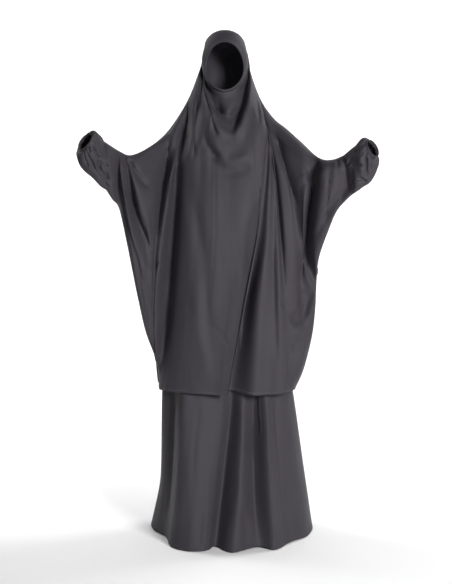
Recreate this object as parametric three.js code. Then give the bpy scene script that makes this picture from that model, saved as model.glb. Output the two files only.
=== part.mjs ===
// Two-piece jilbab: an overhead top with hood, batwing body and cuffed sleeves, and a flared skirt.
// Millimetres, +Z up, the garment faces -Y, +X is on the viewer's right.
// The origin is the inside of the hood's crown, where the head carries the top.

import * as THREE from 'three';

// Cloth and seams
const wall = 1.5;
const seamGap = 0.3;
const clothColour = 0x47474d;

// Mesh fineness: rows run down a panel, and one column runs down each line of the tables
const frontRows = 28;
const backRows = 16;
const bandRows = 4;
const skirtRows = 8;
const topCrowding = 1.5;
const endCrowding = 1.25;

// Face opening and head
const hoodMiddle = -4;
const openingHalfWidth = 64;
const openingHalfHeight = 79;
const openingMiddleHeight = -134;
const openingFrontDepth = -92;
const openingSideDepth = -56;
const crownHalfWidth = 65.25;
const crownRise = 45;
const crownDrop = 29;
const crownDepth = -16;
const crownBack = 12;
const bandBulge = 0.2;

// Top edge of the panels, where front and back meet over the arm, shoulder and hood.
// Station 0 is the left sleeve seam; round is how far the cloth takes to turn down over the edge.
const ridgeLeft = [
  { x: -393, y: -210, z: -397, round: 45 },
  { x: -344, y: -160, z: -426, round: 45 },
  { x: -310, y: -120, z: -432, round: 45 },
  { x: -252, y: -50, z: -393, round: 50 },
  { x: -197, y: 0, z: -334, round: 60 },
  { x: -135, y: 5, z: -237, round: 75 },
  { x: -97, y: 5, z: -144, round: 85 },
  { x: -83, y: 0, z: -99, round: 85 },
  { x: -72, y: -8, z: -48, round: 85 },
  { x: -65, y: -16, z: -29, round: 80 },
];
const ridgeRight = [
  { x: 57, y: -16, z: -29, round: 80 },
  { x: 68, y: -8, z: -52, round: 85 },
  { x: 76, y: 0, z: -97, round: 85 },
  { x: 93, y: 5, z: -161, round: 85 },
  { x: 124, y: 5, z: -237, round: 75 },
  { x: 166, y: 3, z: -296, round: 65 },
  { x: 207, y: -3, z: -331, round: 58 },
  { x: 253, y: -40, z: -379, round: 50 },
  { x: 310, y: -120, z: -443, round: 45 },
  { x: 349, y: -160, z: -451, round: 45 },
  { x: 380, y: -210, z: -442, round: 45 },
];

// Outer edge of the face band from the crown seam down to the chin, half of it; the other half mirrors it.
const bandEdgeHalf = [
  { out: 61, y: -16, z: -29 },
  { out: 74, y: -40, z: -78 },
  { out: 74, y: -50, z: -114 },
  { out: 69, y: -54, z: -150 },
  { out: 57, y: -63, z: -181 },
  { out: 36, y: -76, z: -207 },
  { out: 0, y: -86, z: -222 },
];

// Side edges, from the sleeve seam down to the hem corner on the left, and back up on the right.
const sideLeft = [
  { x: -389, y: -205, z: -554, round: 40 },
  { x: -368, y: -198, z: -587, round: 30 },
  { x: -349, y: -188, z: -613, round: 28 },
  { x: -329, y: -150, z: -718, round: 25 },
  { x: -298, y: -100, z: -896, round: 25 },
  { x: -273, y: -60, z: -1023, round: 28 },
  { x: -246, y: -30, z: -1103, round: 30 },
  { x: -236, y: -15, z: -1150, round: 32 },
  { x: -233, y: 0, z: -1223, round: 35 },
];
const sideRight = [
  { x: 241, y: 0, z: -1219, round: 35 },
  { x: 268, y: -15, z: -1153, round: 30 },
  { x: 294, y: -38, z: -1046, round: 28 },
  { x: 304, y: -58, z: -952, round: 28 },
  { x: 306, y: -80, z: -862, round: 28 },
  { x: 311, y: -108, z: -774, round: 28 },
  { x: 341, y: -158, z: -675, round: 28 },
  { x: 359, y: -190, z: -626, round: 28 },
  { x: 378, y: -198, z: -600, round: 30 },
  { x: 404, y: -205, z: -574, round: 40 },
];

// Front hem between its two corners, one row for each line that ends on it.
const hemFront = [
  { x: -233, y: 0, z: -1223 },
  { x: -214, y: -92, z: -1221 },
  { x: -180, y: -130, z: -1220 },
  { x: -152, y: -145, z: -1220 },
  { x: -126, y: -155, z: -1221 },
  { x: -100, y: -162, z: -1222 },
  { x: -76, y: -166, z: -1223 },
  { x: -56, y: -168, z: -1224 },
  { x: -42, y: -170, z: -1225 },
  { x: -28, y: -172, z: -1226 },
  { x: -18, y: -174, z: -1226 },
  { x: -11, y: -175, z: -1226 },
  { x: -5, y: -176, z: -1226 },
  { x: -1, y: -177, z: -1226 },
  { x: 2, y: -177, z: -1225 },
  { x: 5, y: -176, z: -1224 },
  { x: -13, y: -140, z: -1216 },
  { x: 22, y: -126, z: -1217 },
  { x: 84, y: -170, z: -1226 },
  { x: 136, y: -158, z: -1226 },
  { x: 183, y: -152, z: -1224 },
  { x: 214, y: -112, z: -1221 },
  { x: 241, y: 0, z: -1219 },
];
const hemBackDepth = 182;
const hemBackHeight = -1222;

// Lengthwise lines of the top, left to right. top and end are stations on the edges above.
// x, front and back give its sideways place and its two depths at the inner four of these parts of its drop.
const lineStations = [0, 0.1, 0.25, 0.5, 0.75, 1];
const lines = [
  { name: 'left sleeve seam', top: 0, end: 0, x: [-389, -384, -377, -381],
    front: [-255, -255, -252, -240], back: [-165, -165, -165, -180] },
  { name: 'left arm ridge', top: 0.42, end: 1, x: [-370, -368, -366, -366],
    front: [-238, -240, -236, -220], back: [-150, -148, -150, -165] },
  { name: 'left arm groove', top: 0.8, end: 2, x: [-352, -350, -349, -348],
    front: [-214, -211, -207, -198], back: [-120, -115, -120, -140] },
  { name: 'left wing edge', top: 0.86, end: 2.8, x: [-348, -344, -337, -332],
    front: [-212, -215, -205, -185], back: [-112, -105, -105, -125] },
  { name: 'left wing ridge', top: 0.92, end: 3.6, x: [-342, -334, -320, -308],
    front: [-212, -220, -210, -182], back: [-105, -90, -85, -95] },
  { name: 'left wing hollow side', top: 1, end: 4.7, x: [-332, -322, -292, -276],
    front: [-205, -202, -188, -152], back: [-100, -75, -62, -60] },
  { name: 'left wing fold', top: 1.25, end: 6, x: [-321, -307, -250, -240],
    front: [-190, -158, -122, -92], back: [-88, -55, -30, -20] },
  { name: 'left wing panel', top: 1.6, end: 6.6, x: [-303, -283, -243, -238],
    front: [-190, -178, -150, -100], back: [-78, -40, -8, 5] },
  { name: 'left wing panel inner', top: 2.2, end: 7, x: [-282, -261, -238, -235],
    front: [-165, -168, -152, -102], back: [-45, -5, 22, 25] },
  { name: 'left shoulder panel', top: 3, end: 7.4, x: [-250, -240, -233, -231],
    front: [-115, -142, -142, -100], back: [15, 40, 60, 50] },
  { name: 'left second valley', top: 3.7, end: 7.7, x: [-208, -218, -230, -228],
    front: [-62, -94, -104, -84], back: [60, 85, 95, 75] },
  { name: 'left bright ridge', top: 4.4, end: 7.9, x: [-176, -187, -203, -216],
    front: [-55, -120, -122, -86], back: [85, 112, 118, 95] },
  { name: 'left main valley', top: 5.2, end: 8, x: [-142, -164, -182, -198],
    front: [-24, -78, -78, -76], back: [88, 125, 135, 115] },
  { name: 'left panel edge', top: 5.4, end: 9, x: [-126, -136, -152, -172],
    front: [-48, -118, -122, -120], back: [90, 128, 142, 148] },
  { name: 'left panel', top: 5.7, end: 10, x: [-106, -110, -121, -139],
    front: [-58, -130, -146, -147], back: [92, 128, 142, 150] },
  { name: 'left hood side', top: 6.3, end: 11, x: [-88, -84, -93, -113],
    front: [-55, -128, -153, -159], back: [92, 124, 140, 152] },
  { name: 'left drape', top: 7.5, end: 12, x: [-81, -64, -70, -87],
    front: [-52, -130, -157, -165], back: [98, 112, 138, 154] },
  { name: 'left crown seam', top: 9, end: 13, x: [-77, -45, -47, -65],
    front: [-62, -128, -158, -166], back: [104, 102, 136, 156] },
  { name: 'left temple', top: 9.7, end: 13.5, x: [-73, -36, -36, -56],
    front: [-70, -135, -158, -166], back: [104, 100, 135, 157] },
  { name: 'left cheek', top: 10.5, end: 14, x: [-68, -27, -25, -47],
    front: [-80, -142, -159, -166], back: [104, 98, 134, 158] },
  { name: 'left jaw', top: 12, end: 15, x: [-52, -8, -5, -30],
    front: [-94, -150, -158, -165], back: [104, 96, 133, 159] },
  { name: 'left chin side', top: 13, end: 16, x: [-37, 10, 13, -15],
    front: [-104, -152, -157, -165], back: [104, 95, 132, 160] },
  { name: 'left chin', top: 14, end: 17, x: [-20, 28, 31, 0],
    front: [-112, -154, -158, -166], back: [104, 95, 132, 160] },
  { name: 'middle', top: 15, end: 18, x: [7, 50, 49, 13],
    front: [-118, -155, -160, -168], back: [104, 95, 132, 160] },
  { name: 'right chin', top: 16, end: 19, x: [34, 70, 66, 26],
    front: [-112, -154, -160, -169], back: [104, 95, 132, 160] },
  { name: 'right chin side', top: 17, end: 20, x: [52, 87, 81, 38],
    front: [-104, -152, -160, -170], back: [104, 95, 132, 160] },
  { name: 'right jaw', top: 18, end: 21, x: [65, 101, 94, 49],
    front: [-94, -150, -160, -171], back: [104, 96, 133, 159] },
  { name: 'right cheek', top: 19.5, end: 22, x: [76, 115, 106, 60],
    front: [-80, -142, -160, -172], back: [104, 98, 134, 158] },
  { name: 'right temple', top: 20.3, end: 22.5, x: [80, 120, 106, 56],
    front: [-70, -135, -160, -173], back: [104, 100, 135, 157] },
  { name: 'lap fold edge', top: 21, end: 23, x: [84, 127, 112, 61],
    front: [-62, -128, -160, -177], back: [104, 102, 136, 156] },
  { name: 'lap fold underside', top: 22, end: 24, x: [89, 131, 109, 51],
    front: [-50, -114, -146, -130], back: [100, 108, 138, 154] },
  { name: 'lap fold valley', top: 23, end: 25, x: [97, 139, 120, 72],
    front: [-45, -112, -140, -122], back: [98, 112, 138, 152] },
  { name: 'right panel ridge', top: 23.6, end: 26, x: [109, 147, 136, 102],
    front: [-46, -122, -152, -167], back: [96, 116, 139, 150] },
  { name: 'right soft valley', top: 24.2, end: 27, x: [120, 154, 158, 150],
    front: [-46, -117, -140, -153], back: [94, 120, 140, 149] },
  { name: 'right second ridge', top: 24.4, end: 28, x: [125, 157, 173, 178],
    front: [-46, -121, -145, -156], back: [92, 122, 140, 149] },
  { name: 'right main valley', top: 24.6, end: 29, x: [132, 161, 183, 198],
    front: [-38, -98, -118, -140], back: [90, 122, 140, 148] },
  { name: 'right panel', top: 25, end: 30, x: [147, 175, 197, 213],
    front: [-48, -114, -132, -132], back: [88, 118, 134, 118] },
  { name: 'right shoulder panel', top: 25.8, end: 31, x: [174, 203, 221, 238],
    front: [-52, -120, -130, -116], back: [86, 110, 118, 92] },
  { name: 'right shoulder valley', top: 26.6, end: 31.8, x: [187, 208, 240, 249],
    front: [-62, -112, -118, -95], back: [72, 92, 98, 74] },
  { name: 'right shoulder fold', top: 27.5, end: 32.6, x: [227, 240, 251, 256],
    front: [-98, -142, -128, -92], back: [48, 62, 68, 52] },
  { name: 'right wing panel', top: 28.2, end: 33.4, x: [256, 263, 257, 261],
    front: [-128, -160, -142, -100], back: [5, 20, 30, 22] },
  { name: 'right wing valley', top: 28.8, end: 34, x: [299, 294, 277, 271],
    front: [-158, -142, -102, -92], back: [-38, -20, -8, -20] },
  { name: 'right elbow ridge', top: 29.2, end: 34.5, x: [320, 315, 297, 290],
    front: [-178, -188, -166, -142], back: [-66, -52, -45, -60] },
  { name: 'right arm ridge', top: 29.9, end: 35.2, x: [348, 344, 331, 315],
    front: [-204, -212, -196, -168], back: [-100, -92, -90, -105] },
  { name: 'right arm', top: 30.35, end: 36.3, x: [362, 363, 357, 348],
    front: [-220, -223, -210, -192], back: [-128, -124, -125, -140] },
  { name: 'right arm middle', top: 30.55, end: 36.9, x: [368, 371, 369, 364],
    front: [-226, -226, -214, -202], back: [-138, -135, -137, -151] },
  { name: 'right arm groove', top: 30.7, end: 37.5, x: [374, 378, 380, 378],
    front: [-228, -228, -218, -208], back: [-148, -146, -148, -162] },
  { name: 'right arm end', top: 30.85, end: 38.2, x: [379, 384, 390, 391],
    front: [-240, -240, -232, -220], back: [-157, -156, -157, -171] },
  { name: 'right sleeve seam', top: 31, end: 39, x: [383, 389, 399, 404],
    front: [-255, -255, -252, -240], back: [-165, -165, -165, -180] },
];

// Folds pressed into the front: from, by and to are places [x, z] on the fold's course.
// deep pushes the cloth back (or forward, where negative); left and right are how wide each flank is.
const frontFolds = [
  { name: 'left gap beside the face', from: [-79, -100], by: [-62, -215],
    to: [-14, -292], deep: 16, left: 10, right: 12 },
  { name: 'right gap beside the face', from: [72, -100], by: [60, -240],
    to: [18, -362], deep: 28, left: 26, right: 13 },
  { name: 'left drape ridge', from: [-80, -150], by: [-62, -250],
    to: [-36, -345], deep: -12, left: 16, right: 12 },
  { name: 'right drape ridge', from: [76, -150], by: [66, -260],
    to: [30, -395], deep: -12, left: 14, right: 18 },
  { name: 'chin swag', from: [-42, -262], by: [8, -300], to: [48, -262], deep: 12, left: 14, right: 16 },
  { name: 'upper swag', from: [-34, -330], by: [10, -368], to: [44, -330], deep: -9, left: 14, right: 18 },
  { name: 'lower swag', from: [-70, -290], by: [-8, -456], to: [84, -440], deep: -12, left: 22, right: 20 },
  { name: 'below the swags', from: [-60, -420], by: [2, -482],
    to: [80, -470], deep: 10, left: 22, right: 26 },
  { name: 'left elbow fold', from: [-318, -440], by: [-290, -480],
    to: [-256, -545], deep: 14, left: 10, right: 11 },
  { name: 'left wing hook', from: [-285, -668], by: [-250, -785],
    to: [-226, -798], deep: 12, left: 16, right: 18 },
  { name: 'right shoulder fold', from: [180, -372], by: [196, -470],
    to: [236, -600], deep: 14, left: 12, right: 14 },
  { name: 'right elbow gather', from: [312, -462], by: [282, -500],
    to: [248, -545], deep: 12, left: 12, right: 12 },
  { name: 'right wing swag', from: [292, -860], by: [262, -960],
    to: [214, -985], deep: 16, left: 22, right: 20 },
  { name: 'right lower swag', from: [296, -960], by: [262, -1050],
    to: [212, -1068], deep: 10, left: 22, right: 22 },
  { name: 'right lower ridge', from: [298, -910], by: [268, -1004],
    to: [214, -1026], deep: -8, left: 20, right: 20 },
];

// Folds of the back, which hangs from the head, the shoulders and the arms.
const backFolds = [
  { name: 'left arm swag', from: [-325, -480], by: [-270, -640],
    to: [-250, -860], deep: 16, left: 26, right: 34 },
  { name: 'left inner arm swag', from: [-255, -450], by: [-225, -640],
    to: [-222, -940], deep: 15, left: 26, right: 34 },
  { name: 'left shoulder blade', from: [-160, -360], by: [-165, -700],
    to: [-178, -1230], deep: 26, left: 34, right: 26 },
  { name: 'left back flute', from: [-92, -330], by: [-96, -720],
    to: [-104, -1230], deep: 20, left: 26, right: 34 },
  { name: 'nape hollow', from: [-40, -210], by: [-30, -420],
    to: [-34, -1230], deep: 15, left: 30, right: 26 },
  { name: 'right nape hollow', from: [36, -230], by: [46, -520],
    to: [52, -1230], deep: 18, left: 26, right: 34 },
  { name: 'right back flute', from: [96, -320], by: [118, -700],
    to: [128, -1230], deep: 22, left: 34, right: 26 },
  { name: 'right shoulder blade', from: [168, -370], by: [186, -700],
    to: [196, -1230], deep: 24, left: 26, right: 34 },
  { name: 'right inner arm swag', from: [258, -450], by: [242, -640],
    to: [246, -900], deep: 15, left: 34, right: 26 },
  { name: 'right arm swag', from: [325, -490], by: [296, -640],
    to: [286, -820], deep: 14, left: 30, right: 26 },
];

// Sleeves past the seam, ring by ring to the cuff: the highest and lowest point of each ring,
// its depth, half its thickness and how far it turns to face forward with the forearm, in degrees.
const leftSleeve = [
  { top: [-396, -391], bottom: [-406, -541], y: -224, half: 47, turn: 3 },
  { top: [-401, -384], bottom: [-430, -516], y: -236, half: 48, turn: 8 },
  { top: [-408, -378], bottom: [-451, -498], y: -246, half: 48, turn: 14 },
  { top: [-416, -372], bottom: [-467, -474], y: -255, half: 46, turn: 21 },
  { top: [-422, -373], bottom: [-471, -450], y: -263, half: 42, turn: 29 },
  { top: [-419, -386], bottom: [-459, -435], y: -268, half: 32, turn: 36 },
];
const rightSleeve = [
  { top: [401, -424], bottom: [416, -564], y: -224, half: 47, turn: 3 },
  { top: [412, -416], bottom: [437, -549], y: -236, half: 48, turn: 8 },
  { top: [421, -405], bottom: [456, -535], y: -246, half: 48, turn: 14 },
  { top: [432, -395], bottom: [472, -512], y: -255, half: 46, turn: 21 },
  { top: [443, -394], bottom: [481, -483], y: -263, half: 42, turn: 29 },
  { top: [443, -405], bottom: [472, -457], y: -268, half: 32, turn: 36 },
];
const cuffGathers = 10;
const cuffGatherDepth = 3;
const cuffWidth = 10;
const cuffThickness = 2.5;

// Skirt, line by line round its waist, starting at the left side seam and running over the front:
// places [x, y] at the knee, the shin and the hem, and the hem's height.
const waistHeight = -660;
const waistHalfWidth = 125;
const waistHalfDepth = 97;
const waistMiddleDepth = 5;
const waistbandHeight = 30;
const waistbandThickness = 2.5;
const kneeHeight = -1225;
const shinHeight = -1520;
const skirtLines = [
  { name: 'left side seam', knee: [-219, 18], shin: [-227, 30], hem: [-264, 62], low: -1712 },
  { name: 'left back lobe front', knee: [-216, -22], shin: [-222, -20], hem: [-250, -2], low: -1722 },
  { name: 'left dark wall', knee: [-205, -56], shin: [-207, -62], hem: [-214, -60], low: -1722 },
  { name: 'left deep valley', knee: [-174, -80], shin: [-185, -92], hem: [-200, -100], low: -1719 },
  { name: 'left front ridge', knee: [-141, -124], shin: [-153, -168], hem: [-170, -186], low: -1722 },
  { name: 'left front panel', knee: [-100, -136], shin: [-116, -198], hem: [-128, -232], low: -1722 },
  { name: 'left front panel middle', knee: [-54, -134], shin: [-68, -194], hem: [-82, -244], low: -1722 },
  { name: 'front soft slope', knee: [-14, -122], shin: [-38, -176], hem: [-58, -228], low: -1723 },
  { name: 'front soft valley', knee: [20, -104], shin: [-8, -146], hem: [-32, -198], low: -1719 },
  { name: 'front middle ridge', knee: [56, -130], shin: [44, -202], hem: [22, -258], low: -1722 },
  { name: 'front right valley', knee: [92, -100], shin: [93, -152], hem: [106, -206], low: -1717 },
  { name: 'front right ridge', knee: [129, -128], shin: [141, -190], hem: [158, -228], low: -1722 },
  { name: 'front right ridge flank', knee: [164, -106], shin: [178, -152], hem: [198, -176], low: -1720 },
  { name: 'right soft valley', knee: [188, -92], shin: [208, -128], hem: [228, -138], low: -1718 },
  { name: 'right lobe', knee: [214, -58], shin: [248, -78], hem: [276, -72], low: -1722 },
  { name: 'right side seam', knee: [231, 0], shin: [274, 4], hem: [304, 22], low: -1719 },
  { name: 'right back lobe', knee: [222, 46], shin: [262, 66], hem: [292, 92], low: -1722 },
  { name: 'right back valley', knee: [186, 74], shin: [214, 106], hem: [232, 128], low: -1719 },
  { name: 'right back ridge', knee: [162, 118], shin: [196, 166], hem: [222, 212], low: -1722 },
  { name: 'back right valley', knee: [112, 116], shin: [128, 162], hem: [140, 198], low: -1719 },
  { name: 'back right ridge', knee: [76, 148], shin: [92, 208], hem: [106, 262], low: -1722 },
  { name: 'back middle valley', knee: [26, 124], shin: [28, 172], hem: [28, 212], low: -1719 },
  { name: 'back middle ridge', knee: [-16, 152], shin: [-22, 212], hem: [-30, 266], low: -1722 },
  { name: 'back left valley', knee: [-62, 120], shin: [-74, 164], hem: [-88, 202], low: -1719 },
  { name: 'back left ridge', knee: [-112, 134], shin: [-132, 188], hem: [-150, 236], low: -1722 },
  { name: 'left back valley', knee: [-146, 92], shin: [-162, 126], hem: [-182, 152], low: -1719 },
  { name: 'left back ridge', knee: [-188, 82], shin: [-204, 112], hem: [-232, 144], low: -1722 },
];
const rightSeamLine = 15;
const columnsPerSkirtLine = 3;

// Numbers and curves
const mix = (a, b, t) => a + (b - a) * t;
const clampTo = (t, low, high) => Math.min(high, Math.max(low, t));
const clamp01 = (t) => clampTo(t, 0, 1);
const quarterRound = (t) => Math.sqrt(1 - (1 - clamp01(t)) ** 2);
const vector = (p) => new THREE.Vector3(p.x, p.y, p.z);

// Smooth curve through values at even steps
function throughEven(values, at) {
  const last = values.length - 1;
  const i = Math.min(last - 1, Math.max(0, Math.floor(at)));
  const t = at - i;
  const b = values[i];
  const c = values[i + 1];
  const a = i > 0 ? values[i - 1] : 2 * b - c;
  const d = i < last - 1 ? values[i + 2] : 2 * c - b;
  const slopeB = (c - a) / 2;
  const slopeC = (d - b) / 2;
  const t2 = t * t;
  const t3 = t2 * t;
  return (2 * t3 - 3 * t2 + 1) * b + (t3 - 2 * t2 + t) * slopeB + (3 * t2 - 2 * t3) * c + (t3 - t2) * slopeC;
}

// Smooth curve through values at the stations given, with no overshoot
function throughStations(stations, values, at) {
  let i = 0;
  while (i < stations.length - 2 && at > stations[i + 1]) i += 1;
  const slope = (k) => (values[k + 1] - values[k]) / (stations[k + 1] - stations[k]);
  const tangent = (k) => {
    if (k === 0) return slope(0);
    if (k === stations.length - 1) return slope(k - 1);
    const before = slope(k - 1);
    const after = slope(k);
    return before * after <= 0 ? 0 : (2 * before * after) / (before + after);
  };
  const span = stations[i + 1] - stations[i];
  const t = (at - stations[i]) / span;
  const t2 = t * t;
  const t3 = t2 * t;
  return (2 * t3 - 3 * t2 + 1) * values[i] + (t3 - 2 * t2 + t) * span * tangent(i)
    + (3 * t2 - 2 * t3) * values[i + 1] + (t3 - t2) * span * tangent(i + 1);
}

function rowAt(rows, at) {
  const point = {};
  for (const key of ['x', 'y', 'z', 'round']) {
    if (key in rows[0]) point[key] = throughEven(rows.map((row) => row[key]), at);
  }
  return point;
}

// Stations on the top edge
const crownStart = ridgeLeft.length - 1;
const bandEdge = [
  ...bandEdgeHalf.map((row) => ({ x: hoodMiddle - row.out, y: row.y, z: row.z })),
  ...bandEdgeHalf.slice(0, -1).reverse().map((row) => ({ x: hoodMiddle + row.out, y: row.y, z: row.z })),
];
const crownEnd = crownStart + bandEdge.length - 1;

function crownArc(part) {
  const low = Math.asin(1 - crownDrop / crownRise);
  const angle = mix(low, Math.PI - low, part);
  return {
    x: hoodMiddle - crownHalfWidth * Math.cos(angle),
    y: crownDepth - crownBack * Math.sin(Math.PI * part),
    z: crownRise * (Math.sin(angle) - 1),
    round: 95,
  };
}

function topEdge(station, isFront) {
  if (station <= crownStart) return rowAt(ridgeLeft, station);
  if (station >= crownEnd) return rowAt(ridgeRight, station - crownEnd);
  if (isFront) return rowAt(bandEdge, station - crownStart);
  return crownArc((station - crownStart) / (crownEnd - crownStart));
}

// Stations on the side edges and the hem
const hemStart = sideLeft.length - 1;
const hemEnd = hemStart + hemFront.length - 1;

function endEdge(station, isFront) {
  if (station <= hemStart) return rowAt(sideLeft, station);
  if (station >= hemEnd) return rowAt(sideRight, station - hemEnd);
  if (isFront) return rowAt(hemFront, station - hemStart);
  const angle = Math.PI * (station - hemStart) / (hemEnd - hemStart);
  const left = sideLeft[hemStart].x;
  const right = sideRight[0].x;
  return {
    x: mix(left, right, (1 - Math.cos(angle)) / 2),
    y: hemBackDepth * Math.sin(angle) ** 0.8,
    z: hemBackHeight,
  };
}

// Nearest place on the edges over which the cloth turns
const edgeSteps = 5;
function edgeLine(curve, from, to) {
  const points = [];
  const count = Math.round((to - from) * edgeSteps);
  for (let k = 0; k <= count; k += 1) points.push(curve(mix(from, to, k / count)));
  return points;
}
const sharedEdges = [
  edgeLine((s) => topEdge(s, true), 0, crownStart),
  edgeLine((s) => topEdge(s, true), crownEnd, crownEnd + ridgeRight.length - 1),
  edgeLine((s) => endEdge(s, true), 0, hemStart),
  edgeLine((s) => endEdge(s, true), hemEnd, hemEnd + sideRight.length - 1),
];
const crownLine = edgeLine((s) => topEdge(s, false), crownStart, crownEnd);

function nearestEdge(x, z, edges) {
  let best = { away: Infinity, y: 0, round: 1 };
  for (const points of edges) {
    for (let k = 0; k < points.length - 1; k += 1) {
      const a = points[k];
      const b = points[k + 1];
      const dx = b.x - a.x;
      const dz = b.z - a.z;
      const t = clamp01(((x - a.x) * dx + (z - a.z) * dz) / (dx * dx + dz * dz));
      const away = Math.hypot(x - mix(a.x, b.x, t), z - mix(a.z, b.z, t));
      if (away < best.away) best = { away, y: mix(a.y, b.y, t), round: mix(a.round, b.round, t) };
    }
  }
  return best;
}

// Push of the folds at a place on a panel: soft flanks, fading at both ends of each fold
const foldSteps = 12;
function courseOf(fold) {
  const points = [];
  for (let k = 0; k <= foldSteps; k += 1) {
    const t = k / foldSteps;
    const bend = (i) => 2 * fold.by[i] - (fold.from[i] + fold.to[i]) / 2;
    const on = (i) => (1 - t) ** 2 * fold.from[i] + 2 * t * (1 - t) * bend(i) + t * t * fold.to[i];
    points.push([on(0), on(1)]);
  }
  return points;
}

function foldPush(folds, x, z) {
  let push = 0;
  for (const fold of folds) {
    fold.course ??= courseOf(fold);
    let best = Infinity;
    let side = 1;
    let along = 0;
    for (let k = 0; k < foldSteps; k += 1) {
      const [ax, az] = fold.course[k];
      const [bx, bz] = fold.course[k + 1];
      const dx = bx - ax;
      const dz = bz - az;
      const t = clamp01(((x - ax) * dx + (z - az) * dz) / (dx * dx + dz * dz));
      const away = Math.hypot(x - ax - dx * t, z - az - dz * t);
      if (away < best) {
        best = away;
        side = (x - ax) * dz - (z - az) * dx;
        along = (k + t) / foldSteps;
      }
    }
    const width = side > 0 ? fold.left : fold.right;
    const ends = Math.sin(Math.PI * Math.min(0.5, 2.2 * Math.min(along, 1 - along) + 0.04));
    push += fold.deep * ends * Math.exp(-((best / width) ** 2));
  }
  return push;
}

// One place on the front or back panel, on line number i (with a part) and part v of its drop
const bandSettle = 0.05;
const bandLead = { reach: 16, quick: 0.01, gone: 0.13, slow: 0.02 };
function panelPlace(i, v, isFront) {
  const low = Math.min(lines.length - 2, Math.floor(i));
  const part = i - low;
  const topStation = mix(lines[low].top, lines[low + 1].top, part);
  const top = topEdge(topStation, isFront);
  const endStation = mix(lines[low].end, lines[low + 1].end, part);
  const end = endEdge(endStation, isFront);
  const column = (key) => [0, 1, 2, 3].map((k) => throughEven(lines.map((line) => line[key][k]), i));
  const onBand = topStation > crownStart && topStation < crownEnd;
  const drop = isFront && onBand ? (v * v) / (v + bandLead.slow * (1 - v)) : v;
  const z = mix(top.z, end.z, drop);
  const places = isFront ? column('x') : [];
  const x = isFront ? throughStations(lineStations, [top.x, ...places, end.x], drop) : mix(top.x, end.x, v);
  const depths = column(isFront ? 'front' : 'back');
  const start = isFront && onBand ? top.y : depths[0];
  const onHem = endStation > hemStart && endStation < hemEnd;
  const inner = clampTo(endStation, hemStart + 1, hemEnd - 1);
  const finish = onHem ? (isFront ? endEdge(inner, true).y : end.y) : depths[3];
  const hung = throughStations(lineStations, [start, ...depths, finish], v);
  if (v === 0) return new THREE.Vector3(x, top.y, z);
  if (v === 1 && !(onHem && isFront)) return new THREE.Vector3(x, end.y, z);
  const edge = nearestEdge(x, z, isFront ? sharedEdges : [...sharedEdges, crownLine]);
  let turned = quarterRound(edge.away / edge.round);
  if (isFront && onBand) turned = 1 - (1 - turned) * clamp01(v / bandSettle);
  const push = foldPush(isFront ? frontFolds : backFolds, x, z) * clamp01(edge.away / 25);
  const place = new THREE.Vector3(x, mix(edge.y, hung, turned) + (isFront ? push : -push), z);
  if (isFront && onBand) {
    const lead = bandLead.reach * (1 - Math.exp(-v / bandLead.quick)) * clamp01(1 - v / bandLead.gone);
    place.addScaledVector(bandSeam(vector(top), bandEdgeTangent(topStation)).away, lead);
  }
  return place;
}

// Closed wall between an outer grid of points and the same grid moved in along its normals
function gridNormals(grid, wraps, outward) {
  const rows = grid.length;
  const columns = grid[0].length;
  return grid.map((row, r) => row.map((point, c) => {
    const left = wraps ? row[(c + columns - 1) % columns] : row[Math.max(0, c - 1)];
    const right = wraps ? row[(c + 1) % columns] : row[Math.min(columns - 1, c + 1)];
    const above = grid[Math.max(0, r - 1)][c];
    const below = grid[Math.min(rows - 1, r + 1)][c];
    const across = new THREE.Vector3().subVectors(right, left);
    const down = new THREE.Vector3().subVectors(below, above);
    return across.cross(down).normalize().multiplyScalar(outward);
  }));
}

function clothWall(grid, normals, wraps, thickness) {
  const rows = grid.length;
  const columns = grid[0].length;
  const positions = [];
  for (const row of grid) row.forEach((p) => positions.push(p.x, p.y, p.z));
  grid.forEach((row, r) => row.forEach((p, c) => {
    const q = p.clone().addScaledVector(normals[r][c], -thickness);
    positions.push(q.x, q.y, q.z);
  }));
  const outer = (r, c) => r * columns + (c % columns);
  const inner = (r, c) => rows * columns + outer(r, c);
  const faces = [];
  const quad = (a, b, c, d) => faces.push(a, b, c, a, c, d);
  const lastColumn = wraps ? columns : columns - 1;
  for (let r = 0; r < rows - 1; r += 1) {
    for (let c = 0; c < lastColumn; c += 1) {
      const cross1 = grid[r][c].distanceTo(grid[r + 1][(c + 1) % columns]);
      const cross2 = grid[r + 1][c].distanceTo(grid[r][(c + 1) % columns]);
      const o = [outer(r, c), outer(r + 1, c), outer(r + 1, c + 1), outer(r, c + 1)];
      const n = [inner(r, c + 1), inner(r + 1, c + 1), inner(r + 1, c), inner(r, c)];
      if (cross1 <= cross2) {
        quad(...o);
        quad(n[3], n[0], n[1], n[2]);
      } else {
        quad(o[1], o[2], o[3], o[0]);
        quad(...n);
      }
    }
  }
  for (let c = 0; c < lastColumn; c += 1) {
    quad(outer(0, c), outer(0, c + 1), inner(0, c + 1), inner(0, c));
    quad(outer(rows - 1, c + 1), outer(rows - 1, c), inner(rows - 1, c), inner(rows - 1, c + 1));
  }
  if (!wraps) {
    for (let r = 0; r < rows - 1; r += 1) {
      quad(outer(r + 1, 0), outer(r, 0), inner(r, 0), inner(r + 1, 0));
      const end = columns - 1;
      quad(outer(r, end), outer(r + 1, end), inner(r + 1, end), inner(r, end));
    }
  }
  const geometry = new THREE.BufferGeometry();
  geometry.setAttribute('position', new THREE.Float32BufferAttribute(positions, 3));
  geometry.setIndex(signedVolume(positions, faces) < 0 ? faces.reverse() : faces);
  geometry.computeVertexNormals();
  return geometry;
}

function signedVolume(positions, faces) {
  let volume = 0;
  const point = (i) => new THREE.Vector3(...positions.slice(3 * i, 3 * i + 3));
  for (let k = 0; k < faces.length; k += 3) {
    volume += point(faces[k]).dot(point(faces[k + 1]).cross(point(faces[k + 2])));
  }
  return volume;
}

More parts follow.
